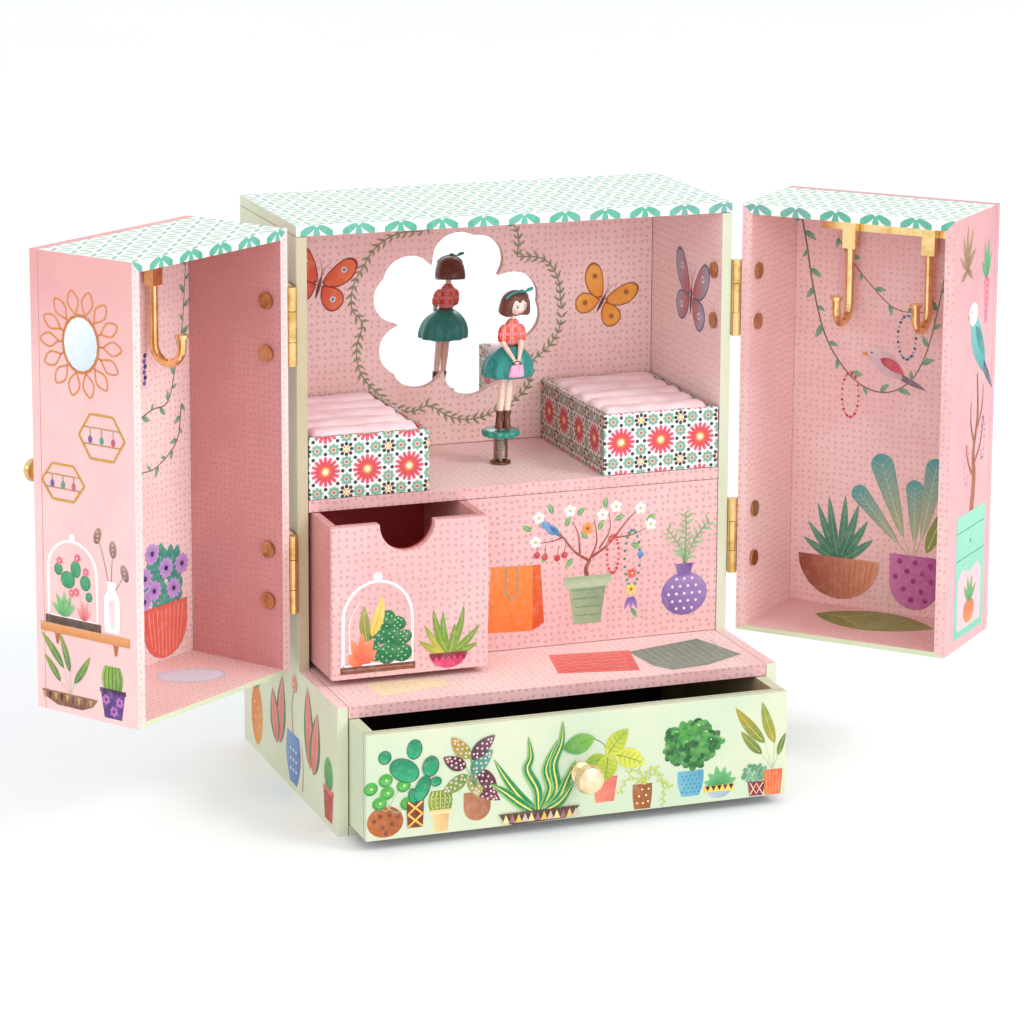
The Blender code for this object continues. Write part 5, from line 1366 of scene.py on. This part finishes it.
    p.dots([(26.0, 91.0)], 0.9, "#3F957C")
    p.make()


def paint_outsides():
    """The outer door faces, with a plain sprig pattern."""
    for door in SIDE:
        p = Print(f"{door}_door_outside_paint", door_outside(door), f"{door}_door", "pink_dotted_board")
        for way in ([(44, 66), (40, 96), (47, 126), (42, 156), (48, 190)],
                    [(44, 66), (56, 84), (66, 108), (70, 134)],
                    [(44, 66), (30, 82), (20, 104), (17, 128)]):
            p.vine(way, 0.9, "#7C5A4A", "#5E8F6C", "#9CC49A", 9.0, 6.4)
        for u, v, radius in ((48, 194, 7.0), (70, 138, 6.0), (17, 132, 6.0), (30, 160, 4.4), (62, 168, 4.4)):
            p.flower(u, v, radius, 8, "#E0788C", "#F2AEB6", "#EFC75A", 0.5)
        p.pot(44.0, 54.0, 72.0, 16.0, 25.0, "#6FA89A", "#4F8C80", rim="#86BCAC")
        p.make()


paint_base_drawer()
paint_small_drawer()
paint_cover()
paint_lining()
paint_right_wall()
paint_rugs()
for side in SIDE:
    paint_base_side(side)
paint_left_door()
paint_right_door()
paint_outsides()


# ---------------------------------------------------------------- figurine and ring cushions

AXLE = Vector((5.3, 34.0, 0.0))
GROUND = 129.8  # top of the disc that the figurine stands on


def doll_point(x, y, height):
    """A point of the figurine, facing -Y, in its slight lean to the right."""
    height = float(np.interp(height, (0.0, 7.1, 18.7, 31.5, 42.2, 60.0), (0.0, 7.3, 21.2, 33.0, 43.8, 61.2)))
    return Vector((AXLE.x + 0.5 + 5.6 * height / 56.0 + x, AXLE.y + y, GROUND + height)) * MM


def new_piece(name, points, faces, material, body, slot, level=0):
    """A smooth visible piece that rides on a body; level subdivides it."""
    mesh = bpy.data.meshes.new(name)
    mesh.from_pydata([tuple(p) for p in points], [], faces)
    mesh.materials.append(material)
    work = bmesh.new()
    work.from_mesh(mesh)
    bmesh.ops.recalc_face_normals(work, faces=work.faces)
    work.to_mesh(mesh)
    work.free()
    mesh.shade_smooth()
    piece = linked(name, mesh)
    if level:
        smooth = piece.modifiers.new("smooth", "SUBSURF")
        smooth.levels = smooth.render_levels = level
    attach(piece, body)
    return piece


def skinned_rings(rings, close=False):
    """Points and faces of a surface over equal rings; ends are capped, or joined to each other."""
    count = len(rings[0])
    points = [p for ring in rings for p in ring]
    faces = []
    for row in range(len(rings) - (0 if close else 1)):
        for k in range(count):
            after, nxt = (row + 1) % len(rings), (k + 1) % count
            faces.append([row * count + k, row * count + nxt, after * count + nxt, after * count + k])
    if not close:
        faces += [list(range(count))[::-1], list(range(len(points) - count, len(points)))]
    return points, faces


def lofted(stations, count=20):
    """Level ovals (x, y, height, half width, half depth) of the figurine, skinned."""
    turn = circle(count)
    return skinned_rings([[doll_point(x + rx * cos(a), y + ry * sin(a), h) for a in turn]
                          for x, y, h, rx, ry in stations])


def swept(path, radii, count=12):
    """Round rings at right angles to the path."""
    rings, side = [], None
    for index, spot in enumerate(path):
        along = (path[min(index + 1, len(path) - 1)] - path[max(index - 1, 0)]).normalized()
        if side is None:
            side = along.orthogonal()
        side = (side - along * side.dot(along)).normalized()
        other = along.cross(side)
        radius = radii[index] * MM
        rings.append([spot + radius * (cos(a) * side + sin(a) * other) for a in circle(count)])
    return skinned_rings(rings)


def gathered(*parts):
    """Several point and face lists as one."""
    points, faces = [], []
    for more, their in parts:
        faces += [[index + len(points) for index in face] for face in their]
        points += more
    return points, faces


def resin(name, colour, shade, gloss=(0.28, 0.42)):
    """Hand-painted resin: thin uneven paint with brush marks under a clear lacquer."""
    s = Shader(name, Coat_Weight=0.25, Coat_Roughness=0.2)
    point = s.here()
    brush = s.cloud(s.vector("MULTIPLY", point, (1.0, 1.0, 0.3)), 1500.0, 3.0, 0.6)
    s.colour(s.mix(s.step(brush, 0.35, 0.72), colour, shade))
    s.rough(brush, *gloss)
    s.bump(brush, 0.25, 0.00005)
    return s.material


def plaid(name):
    """Red cloth checks painted on the shirt."""
    s = Shader(name, Coat_Weight=0.2, Coat_Roughness=0.25)
    point = s.vector("MULTIPLY", s.here(), TO_MM)
    bent = s.vector("ADD", point, s.vector("MULTIPLY", s.node("TexNoise", point, None, 0.5).outputs[1],
                                           (0.9,) * 3))
    x, _, z = s.split(bent)
    colour = s.mix(s.cloud(point, 0.7, 3.0), "#E0342C", "#EE6238")
    for value, pitch, width, hue, share in (
        (x, 3.1, 0.42, "#F3A7B4", 0.8), (z, 3.3, 0.42, "#F2909C", 0.75), (x, 3.1, 0.1, "#9C1F2B", 0.6),
        (z, 1.65, 0.09, "#F6B04C", 0.7),
    ):
        wave = s.absolute(s.math("WRAP", value, pitch / 2, -pitch / 2))
        band = s.step(wave, width * pitch / 2 + 0.12, width * pitch / 2 - 0.12)
        colour = s.mix(s.times(band, share), colour, hue)
    s.colour(colour)
    s.rough(s.cloud(point, 1.5, 2.0), 0.35, 0.5)
    s.bump(s.cloud(point, 2.2, 3.0), 0.25, 0.00005)
    return s.material


HEAD = doll_point(0.4, -0.4, 48.0)
HEAD_TURN = Matrix.Rotation(radians(14), 3, "Z") @ Matrix.Rotation(radians(9), 3, "X")
HEAD_WIDE = 4.4
HEAD_SIZE = Vector((HEAD_WIDE, 4.5, 4.9))


def on_head(direction, grow=0.0):
    """The point of the head's surface, or a little outside it, in a direction of the head's own frame."""
    unit = Vector(direction).normalized()
    return HEAD + HEAD_TURN @ Vector([unit[i] * (HEAD_SIZE[i] + grow) for i in range(3)]) * MM


def painted_face(name):
    """Plain doll's features: eyes, brows, lips and cheeks as soft ovals on the skin."""
    s = Shader(name, Coat_Weight=0.2, Coat_Roughness=0.25, Subsurface_Weight=0.08)
    s.surface.inputs["Subsurface Scale"].default_value = 0.0015
    point = s.here()
    offset = s.vector("MULTIPLY", s.vector("SUBTRACT", point, tuple(HEAD)), TO_MM)
    axes = [tuple(HEAD_TURN @ Vector(axis)) for axis in ((1, 0, 0), (0, 1, 0), (0, 0, 1))]
    x, y, z = (s.vector("DOT_PRODUCT", offset, axis, out=1) for axis in axes)
    front = s.step(y, -0.5, -1.2)

    def oval(colour, hue, u, v, ru, rv, soft, share=1.0, arch=0.0):
        across = s.minus(x, u)
        lifted = s.plus(s.minus(z, v),
                        s.times(s.times(across, across), arch))
        away = s.vector("LENGTH", s.join(s.math("DIVIDE", across, ru), s.math("DIVIDE", lifted, rv)), out=1)
        mask = s.times(s.step(away, 1.0 + soft, 1.0 - soft), front)
        return s.mix(s.times(mask, share), colour, hue)

    tone = s.mix(s.cloud(point, 500.0, 3.0), "#FFF0E4", "#FBE0CF")
    eye = 1.7  # mm from the middle of the face
    for side in (-1, 1):
        for hue, aside, *shape in (
            ("#F2A08E", 2.3, -1.9, 1.1, 0.9, 0.7, 0.5), ("#5A3A2C", eye, 0.95, 0.85, 0.13, 0.3, 0.8, 0.12),
            ("#FFFFFF", eye, -0.1, 0.78, 0.42, 0.15), ("#5C7F62", eye, -0.12, 0.36, 0.4, 0.15),
            ("#1E1A18", eye, -0.12, 0.17, 0.2, 0.2), ("#3A2620", eye, 0.28, 0.85, 0.13, 0.3, 0.95, 0.22),
        ):
            tone = oval(tone, hue, side * aside, *shape)
    tone = oval(tone, "#E3A48E", 0.0, -1.55, 0.34, 0.12, 0.5, 0.8)
    s.colour(oval(tone, "#C23B44", 0.0, -2.65, 0.72, 0.3, 0.2, 1.0, 0.1))
    s.rough(s.cloud(point, 900.0, 2.0), 0.34, 0.46)
    s.bump(s.cloud(point, 1400.0, 2.0), 0.12, 0.00003)
    return s.material


def build_figurine():
    skin_tone = resin("doll_skin", "#FFEBDC", "#F8D3BC")
    teal = resin("teal_paint", "#27A197", "#1A7F7C")

    def part(name, shape, material, slot="painted_resin", level=1):
        return new_piece(f"doll_{name}", *shape, material, "turntable", slot, level)

    legs = [lofted([(s * 1.45, 0.0, 5.0, 1.2, 1.3), (s * 1.45, 0, 8, 1.25, 1.35),
                    (s * 1.5, 0.2, 13, 1.55, 1.7), (s * 1.45, 0.0, 17.5, 1.5, 1.6),
                    (s * 1.45, 0, 26, 1.7, 1.8)], 14) for s in (-1, 1)]
    first = part("legs", gathered(*legs), skin_tone)
    boots = [lofted([(s * 1.6, -0.9, 0.05, 1.45, 2.5), (s * 1.6, -0.9, 0.5, 1.6, 2.7),
                     (s * 1.6, -0.7, 1.5, 1.55, 2.4), (s * 1.55, -0.2, 2.8, 1.4, 1.7),
                     (s * 1.5, 0, 4.6, 1.35, 1.5), (s * 1.55, 0, 6.3, 1.55, 1.75),
                     (s * 1.55, 0, 7.0, 1.65, 1.85), (s * 1.55, 0, 7.1, 1.4, 1.55)], 16) for s in (-1, 1)]
    part("boots", gathered(*boots), resin("boot_brown", "#7A4632", "#58301F"))
    laces = []
    for s in (-1, 1):
        for k in range(4):
            h = 2.6 + 1.0 * k
            laces.append(swept([doll_point(s * 1.55 - 0.75, -1.25 + 0.1 * k, h),
                                doll_point(s * 1.55, -1.95 + 0.18 * k, h + 0.15),
                                doll_point(s * 1.55 + 0.75, -1.25 + 0.1 * k, h)], (0.14,) * 3, 6))
    part("boot_laces", gathered(*laces), resin("lace_cream", "#D8B48A", "#B98D62"))

    shirt = [lofted([(0, 0, 31.4, 2.7, 2.2), (0, 0, 32.4, 2.9, 2.3), (0, -0.2, 35.5, 3.2, 2.7),
                     (0, -0.1, 38.4, 3.4, 2.7), (0, 0.1, 40.4, 3.0, 2.2), (0, 0.1, 41.6, 1.9, 1.7),
                     (0, 0, 42.2, 1.5, 1.5)], 20)]
    arms, cuffs = [], []
    for s in (-1, 1):
        top, low = doll_point(s * 2.4, 0.2, 39.6), doll_point(s * 4.1, -1.3, 33.6)
        path = [top.lerp(low, t) + Vector((s * 0.5, 0.0, 0.3)) * MM * sin(pi * t)
                for t in np.linspace(0, 1, 7)]
        shirt.append(swept(path, (1.3, 1.9, 2.1, 2.05, 1.95, 1.95, 1.7)))
        cuffs.append(swept([path[-1], path[-1] + (low - top) * 0.07], (1.92, 1.9)))
        hand = doll_point(s * 0.75 - 0.5, -10.2, 27.0)
        arms.append(swept([low.lerp(hand, t) for t in (-0.1, 0.1, 0.35, 0.6, 0.85, 0.95)],
                          (1.15, 1.2, 1.1, 0.9, 0.72, 0.7)))
        arms.append(swept([low.lerp(hand, 0.93), low.lerp(hand, 1.0),
                           hand + Vector((-s * 0.6, -0.3, -0.9)) * MM,
                           hand + Vector((-s * 1.0, -0.2, -1.7)) * MM], (0.7, 0.95, 0.85, 0.4)))
    part("shirt", gathered(*shirt), plaid("plaid_paint"))
    part("cuffs", gathered(*cuffs), resin("cuff_red", "#C92A2E", "#A81E28"))
    part("arms", gathered(*arms), skin_tone)
    belt = lofted([(0, 0, 31.0, 2.9, 2.4), (0, 0, 31.2, 3.15, 2.6), (0, 0, 32.2, 3.15, 2.6),
                   (0, 0, 32.4, 2.9, 2.4)], 20)
    part("belt", belt, resin("belt_brown", "#6B3E2A", "#4E2A1C"))

    profile = [(2.6, 31.5), (3.1, 31.6), (4.6, 30.8), (7.0, 29.0), (8.9, 26.6), (9.9, 23.8),
               (10.25, 21.0), (10.1, 19.2), (9.7, 18.7), (9.2, 19.2), (9.2, 22.0), (8.2, 26.0),
               (6.2, 28.6), (3.2, 30.4), (2.6, 30.6)]
    rings = []
    for radius, height in profile:
        depth = 0.055 * max(0.0, (31 - height) / 12) * radius  # of the eleven folds
        reach = [(a, radius + depth * cos(11 * a + 0.6)) for a in circle(88)]
        rings.append([doll_point(r * cos(a), r * sin(a) * 0.94, height) for a, r in reach])
    skirt = part("skirt", skinned_rings(rings, close=True), teal, "teal_plastic")

    def bag_ring(height, half, deep):
        corners = [(-half, -deep), (-half * 0.5, -deep - 0.15), (half * 0.5, -deep - 0.15), (half, -deep),
                   (half, deep), (-half, deep)]
        return [doll_point(u - 0.7, -11.5 + v, height + 2.0) for u, v in corners]

    bag = skinned_rings([bag_ring(*r) for r in ((18.3, 3.1, 0.5), (18.6, 3.4, 0.75), (21.0, 3.2, 0.75),
                                                (23.4, 2.6, 0.5), (23.7, 2.4, 0.35))])
    part("bag", bag, resin("bag_pink", "#F4B7D3", "#E78FB8"))
    handle = [doll_point(1.5 * cos(a) - 0.7, -11.4, 25.4 + 1.9 * sin(a))
              for a in np.linspace(0, pi, 9)]
    part("bag_handle", swept(handle, (0.22,) * 9, 8), resin("handle_plum", "#7A4258", "#5C3044"), level=0)

    neck = swept([doll_point(0, 0, 41.4), doll_point(0.1, -0.1, 43.0), doll_point(0.3, -0.3, 45.0)],
                 (1.35, 1.15, 1.3))
    part("neck", neck, skin_tone)
    rows, around = 20, 32
    face_rings = []
    for row in range(rows):
        level = -pi / 2 + pi * (row + 0.5) / rows
        ring = []
        for a in circle(around):
            way = Vector((cos(level) * cos(a), cos(level) * sin(a), sin(level)))
            narrow = 1.0 - 0.12 * max(0.0, -way.z) ** 1.5
            nose = 0.55 * exp(-((way.x / 0.1) ** 2) - ((way.z + 0.24) / 0.13) ** 2) if way.y < 0 else 0.0
            point = on_head(way, nose)
            ring.append(HEAD + (point - HEAD) * narrow)
        face_rings.append(ring)
    part("head", skinned_rings(face_rings), painted_face("doll_face"))

    hair_rings = []
    for height, radius, back in (
        (-4.1, 5.2, 0.4), (-4.3, 5.9, 0.5), (-3.5, 6.35, 0.5), (-2.0, 6.35, 0.4), (0.0, 6.05, 0.3),
        (2.0, 5.6, 0.2), (3.6, 4.7, 0.2), (4.9, 3.1, 0.1), (5.5, 1.0, 0.0),
    ):
        ring = []
        for a in circle(96):
            facing = degrees(acos(max(-1.0, min(1.0, -sin(a)))))
            edge = 44.0 + 5.0 * min(1.0, max(0.0, -height / 4.0))
            above_fringe = height - 2.1 - 0.35 * cos(9 * a)
            open_face = 1.0 / (1.0 + exp((facing - edge) / 2.2)) / (1.0 + exp(above_fringe / 0.22))
            strand = 0.10 * cos(40 * a + height) + 0.07 * cos(23 * a - 0.7 * height)
            reach = radius + strand
            hidden = 0.80 * sqrt(max(0.05, 1.0 - (height / 6.6) ** 2)) * HEAD_WIDE  # inside the head
            reach = reach * (1 - open_face) + min(hidden, reach) * open_face
            spot = Vector((reach * cos(a), reach * 0.95 * sin(a) + back, height))
            ring.append(HEAD + HEAD_TURN @ spot * MM)
        hair_rings.append(ring)
    hair = resin("hair_brown", "#7B4A38", "#532C24", (0.3, 0.5))
    part("hair", skinned_rings(hair_rings), hair)

    def above(x, y, z):
        return HEAD + HEAD_TURN @ Vector((x, y, z)) * MM

    arc = [above(6.1 * sin(t), -1.3 + 0.9 * abs(sin(t)), -0.3 + 5.75 * cos(t))
           for t in np.linspace(-1.05, 1.05, 17)]
    band = [swept(arc, [0.35] + [0.62] * 15 + [0.35], 8)]
    knot = above(2.7, -1.7, 5.4)
    for ends in (
        ((0.3, 0, 0), (1.5, -0.3, 0.9), (2.9, -0.4, 1.1), (3.6, -0.4, 1.5)),
        ((-0.3, 0, 0), (-1.3, -0.4, 0.6), (-2.5, -0.4, 0.5), (-3.1, -0.4, 0.2)),
    ):
        path = [knot + HEAD_TURN @ Vector(e) * MM for e in ends]
        band.append(swept(path, (0.4, 0.85, 0.8, 0.15), 10))
    path = [knot + Vector(e) * MM for e in ((-0.5, -0.2, -0.1), (0.0, -0.4, 0.0), (0.5, -0.2, 0.1))]
    band.append(swept(path, (0.5, 0.72, 0.5), 10))
    part("headband", gathered(*band), teal)

    low, top = (corner.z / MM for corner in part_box("figurine_disc"))
    rings = []
    for radius, height in ((2.0, low + 0.1), (6.6, low + 0.1), (7.1, low + 0.5), (7.25, low + 1.3),
                           (7.1, top - 0.35), (6.7, top - 0.1), (2.0, top - 0.05)):
        wave = 0.42 if radius > 6 else 0.0  # of the twelve flutes round the rim
        reach = [(a, radius + wave * cos(12 * a)) for a in circle(96)]
        rings.append([(AXLE + Vector((r * cos(a), r * sin(a), height))) * MM for a, r in reach])
    finish = resin("disc_teal", "#2FA08C", "#1F8272", (0.2, 0.32))
    disc = new_piece("fluted_disc", *skinned_rings(rings), finish, "turntable", "teal_plastic")

    low, top = (corner.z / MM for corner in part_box("figurine_spring"))
    turns, wire, coil = 11, 0.40, 2.48  # radii of the wire and of its coil
    path, steps = [], 20 * turns
    for k in range(steps + 1):
        share = k / steps
        a = 2 * pi * turns * share
        height = low + wire + (top - low - 2 * wire) * share
        path.append((AXLE + Vector((coil * cos(a), coil * sin(a), height))) * MM)
    spring = new_piece("coil_spring", *swept(path, [wire] * len(path), 8), WIRE, "turntable",
                       "dark_spring_wire")

    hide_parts("figurine")
    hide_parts("figurine_skirt")
    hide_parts("figurine_disc")
    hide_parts("figurine_spring")


def satin(name):
    """Pale pink satin: crosswise threads, soft puckers and a sheen."""
    s = Shader(name, Sheen_Weight=0.35, Sheen_Roughness=0.35, Specular_IOR_Level=0.45)
    point = s.here()
    threads = s.cloud(s.vector("MULTIPLY", point, (0.25, 1.0, 1.0)), 4200.0, 2.0, 0.6)
    pucker = s.cloud(s.vector("MULTIPLY", point, (0.5, 1.2, 1.2)), 190.0, 3.0, 0.55)
    s.colour(s.mix(s.step(pucker, 0.36, 0.68), "#FFEDF0", "#F9D7DF"))
    s.rough(s.plus(s.times(threads, 0.5), s.times(pucker, 0.5)), 0.3, 0.46)
    s.bump(s.plus(s.times(threads, 0.25), pucker), 0.5, 0.0006)
    return s.material


ROLLS = 5
BLOW_FRAMES = 14


def roll_shape(length, wide, tall):
    """One ring roll about the origin, blown up by a short cloth simulation."""
    work = bmesh.new()
    bmesh.ops.create_cube(work, size=1.0)
    bmesh.ops.scale(work, verts=work.verts, vec=(length, wide, tall))
    bmesh.ops.bevel(work, geom=work.edges[:], offset=0.22 * wide, segments=2, affect="EDGES")
    mesh = bpy.data.meshes.new("roll")
    work.to_mesh(mesh)
    work.free()
    roll = linked("roll", mesh)
    remesh = roll.modifiers.new("even", "REMESH")
    remesh.mode, remesh.voxel_size = "VOXEL", 0.0016
    cloth = roll.modifiers.new("cloth", "CLOTH")
    cloth.settings.quality = 4
    cloth.settings.mass = 0.02
    cloth.settings.tension_stiffness = cloth.settings.compression_stiffness = 8.0
    cloth.settings.use_pressure = True
    cloth.settings.uniform_pressure_force = 2.0
    cloth.settings.effector_weights.gravity = 0.0
    cloth.point_cache.frame_end = BLOW_FRAMES
    for step in range(1, BLOW_FRAMES + 1):
        bpy.context.scene.frame_set(step)
    graph = bpy.context.evaluated_depsgraph_get()
    blown = bpy.data.meshes.new_from_object(roll.evaluated_get(graph))
    bpy.data.objects.remove(roll)
    bpy.context.scene.frame_set(1)
    spots = np.array([v.co for v in blown.vertices])
    faces = [list(face.vertices) for face in blown.polygons]
    return spots, faces


def build_cushions():
    material = satin("pink_satin")
    low, high = (np.array(corner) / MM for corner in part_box("left_ring_rolls"))
    size = high - low
    pitch = size[1] / ROLLS
    spots, faces = roll_shape(size[0] * MM * 0.97, pitch * MM * 0.96, size[2] * MM * 0.96)
    spots = spots / MM
    limits = np.array([size[0] / 2 - 0.05, pitch / 2 - 0.06, size[2] / 2 + 0.6])
    spots = spots * limits * (1.10, 1.10, 1.0) / np.abs(spots).max(0)
    spots = np.clip(spots, -limits, limits) + (0.0, 0.0, 0.6)
    for side in SIDE:
        low, high = (np.array(corner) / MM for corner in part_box(f"{side}_ring_rolls"))
        middle = (low + high) / 2
        points, polygons = [], []
        for index in range(ROLLS):
            centre = (middle[0], low[1] + pitch * (index + 0.5), middle[2])
            moved = spots + centre
            for spot in moved:
                wobble = noise.noise(Vector((spot[0] * 0.09, spot[1] * 0.25, index * 3.7 + SIDE[side])))
                rise = max(0.0, (spot[2] - middle[2]) / (size[2] / 2))
                spot[2] = min(spot[2] + 0.55 * wobble * rise, high[2] + 1.5)
            polygons += [[i + len(points) for i in face] for face in faces]
            points += [tuple(spot * MM) for spot in moved]
        pad = new_piece(f"{side}_tray_rolls", points, polygons, material, "cabinet", "pink_satin", 1)
        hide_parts(f"{side}_ring_rolls")


build_figurine()
build_cushions()


# ---------------------------------------------------------------- room, lights, camera


def room():
    """A plain pale floor that curves up into a backdrop."""
    s = Shader("studio_floor", Roughness=0.6, Emission_Color="#FFFFFF", Emission_Strength=0.07)
    point = s.here()
    s.colour(s.mix(s.cloud(point, 3.0, 2.0), "#F6F8FB", "#F2F5F9"))
    profile = [(-6.0, 0.0), (3.2, 0.0)]
    profile += [(3.2 + 1.6 * sin(a), 1.6 - 1.6 * cos(a)) for a in np.linspace(0.12, pi / 2, 12)]
    profile += [(4.8, 7.0)]
    mesh = bpy.data.meshes.new("studio_floor")
    points = [(x, y, z) for y, z in profile for x in (-9.0, 9.0)]
    faces = [(2 * i, 2 * i + 1, 2 * i + 3, 2 * i + 2) for i in range(len(profile) - 1)]
    mesh.from_pydata(points, [], faces)
    mesh.materials.append(s.material)
    mesh.shade_smooth()
    linked("studio_floor", mesh)


def lamp(name, place, target, size, power):
    """A round white softbox."""
    data = bpy.data.lights.new(name, "AREA")
    data.shape, data.size, data.energy = "DISK", size, power
    made = linked(name, data)
    made.location = place
    made.rotation_euler = (Vector(target) - Vector(place)).to_track_quat("-Z", "Y").to_euler()


room()
lamp("key_right", (1.5, -1.6, 1.9), (0.0, 0.0, 0.1), 0.9, 21.0)
lamp("fill_left", (-1.9, -1.3, 1.0), (0.0, 0.0, 0.1), 1.4, 4.0)
lamp("front_soft", (0.35, -2.6, 0.95), (0.0, 0.0, 0.12), 1.2, 10.0)
world = bpy.data.worlds.new("studio")
world.use_nodes = True
backdrop = world.node_tree.nodes["Background"].inputs
backdrop["Color"].default_value, backdrop["Strength"].default_value = (1.0, 1.0, 1.0, 1.0), 0.96
bpy.context.scene.world = world

YAW, PITCH, ROLL = 20.1, 10.85, 0.3  # degrees
DISTANCE, AIM = 1372.3, (-2.69, 191.0)  # mm; AIM is x and z of the point looked at
PICTURE, FOCUS, LIFT = 1024, 3610.0, 220  # all in pixels: the picture's width, the focal length and the shift
SENSOR = 36.0
yaw, pitch = radians(YAW), radians(PITCH)
forward = Vector((sin(yaw) * cos(pitch), cos(yaw) * cos(pitch), -sin(pitch)))
camera = linked("camera", bpy.data.cameras.new("camera"))
camera.location = Vector((AIM[0] * MM, 0.0, AIM[1] * MM)) - forward * DISTANCE * MM
turned = forward.to_track_quat("-Z", "Y").to_matrix() @ Matrix.Rotation(radians(ROLL), 3, "Z")
camera.rotation_euler = turned.to_euler()
camera.data.sensor_width = SENSOR
camera.data.lens = FOCUS * SENSOR / PICTURE
camera.data.shift_y = -LIFT / PICTURE
bpy.context.scene.camera = camera
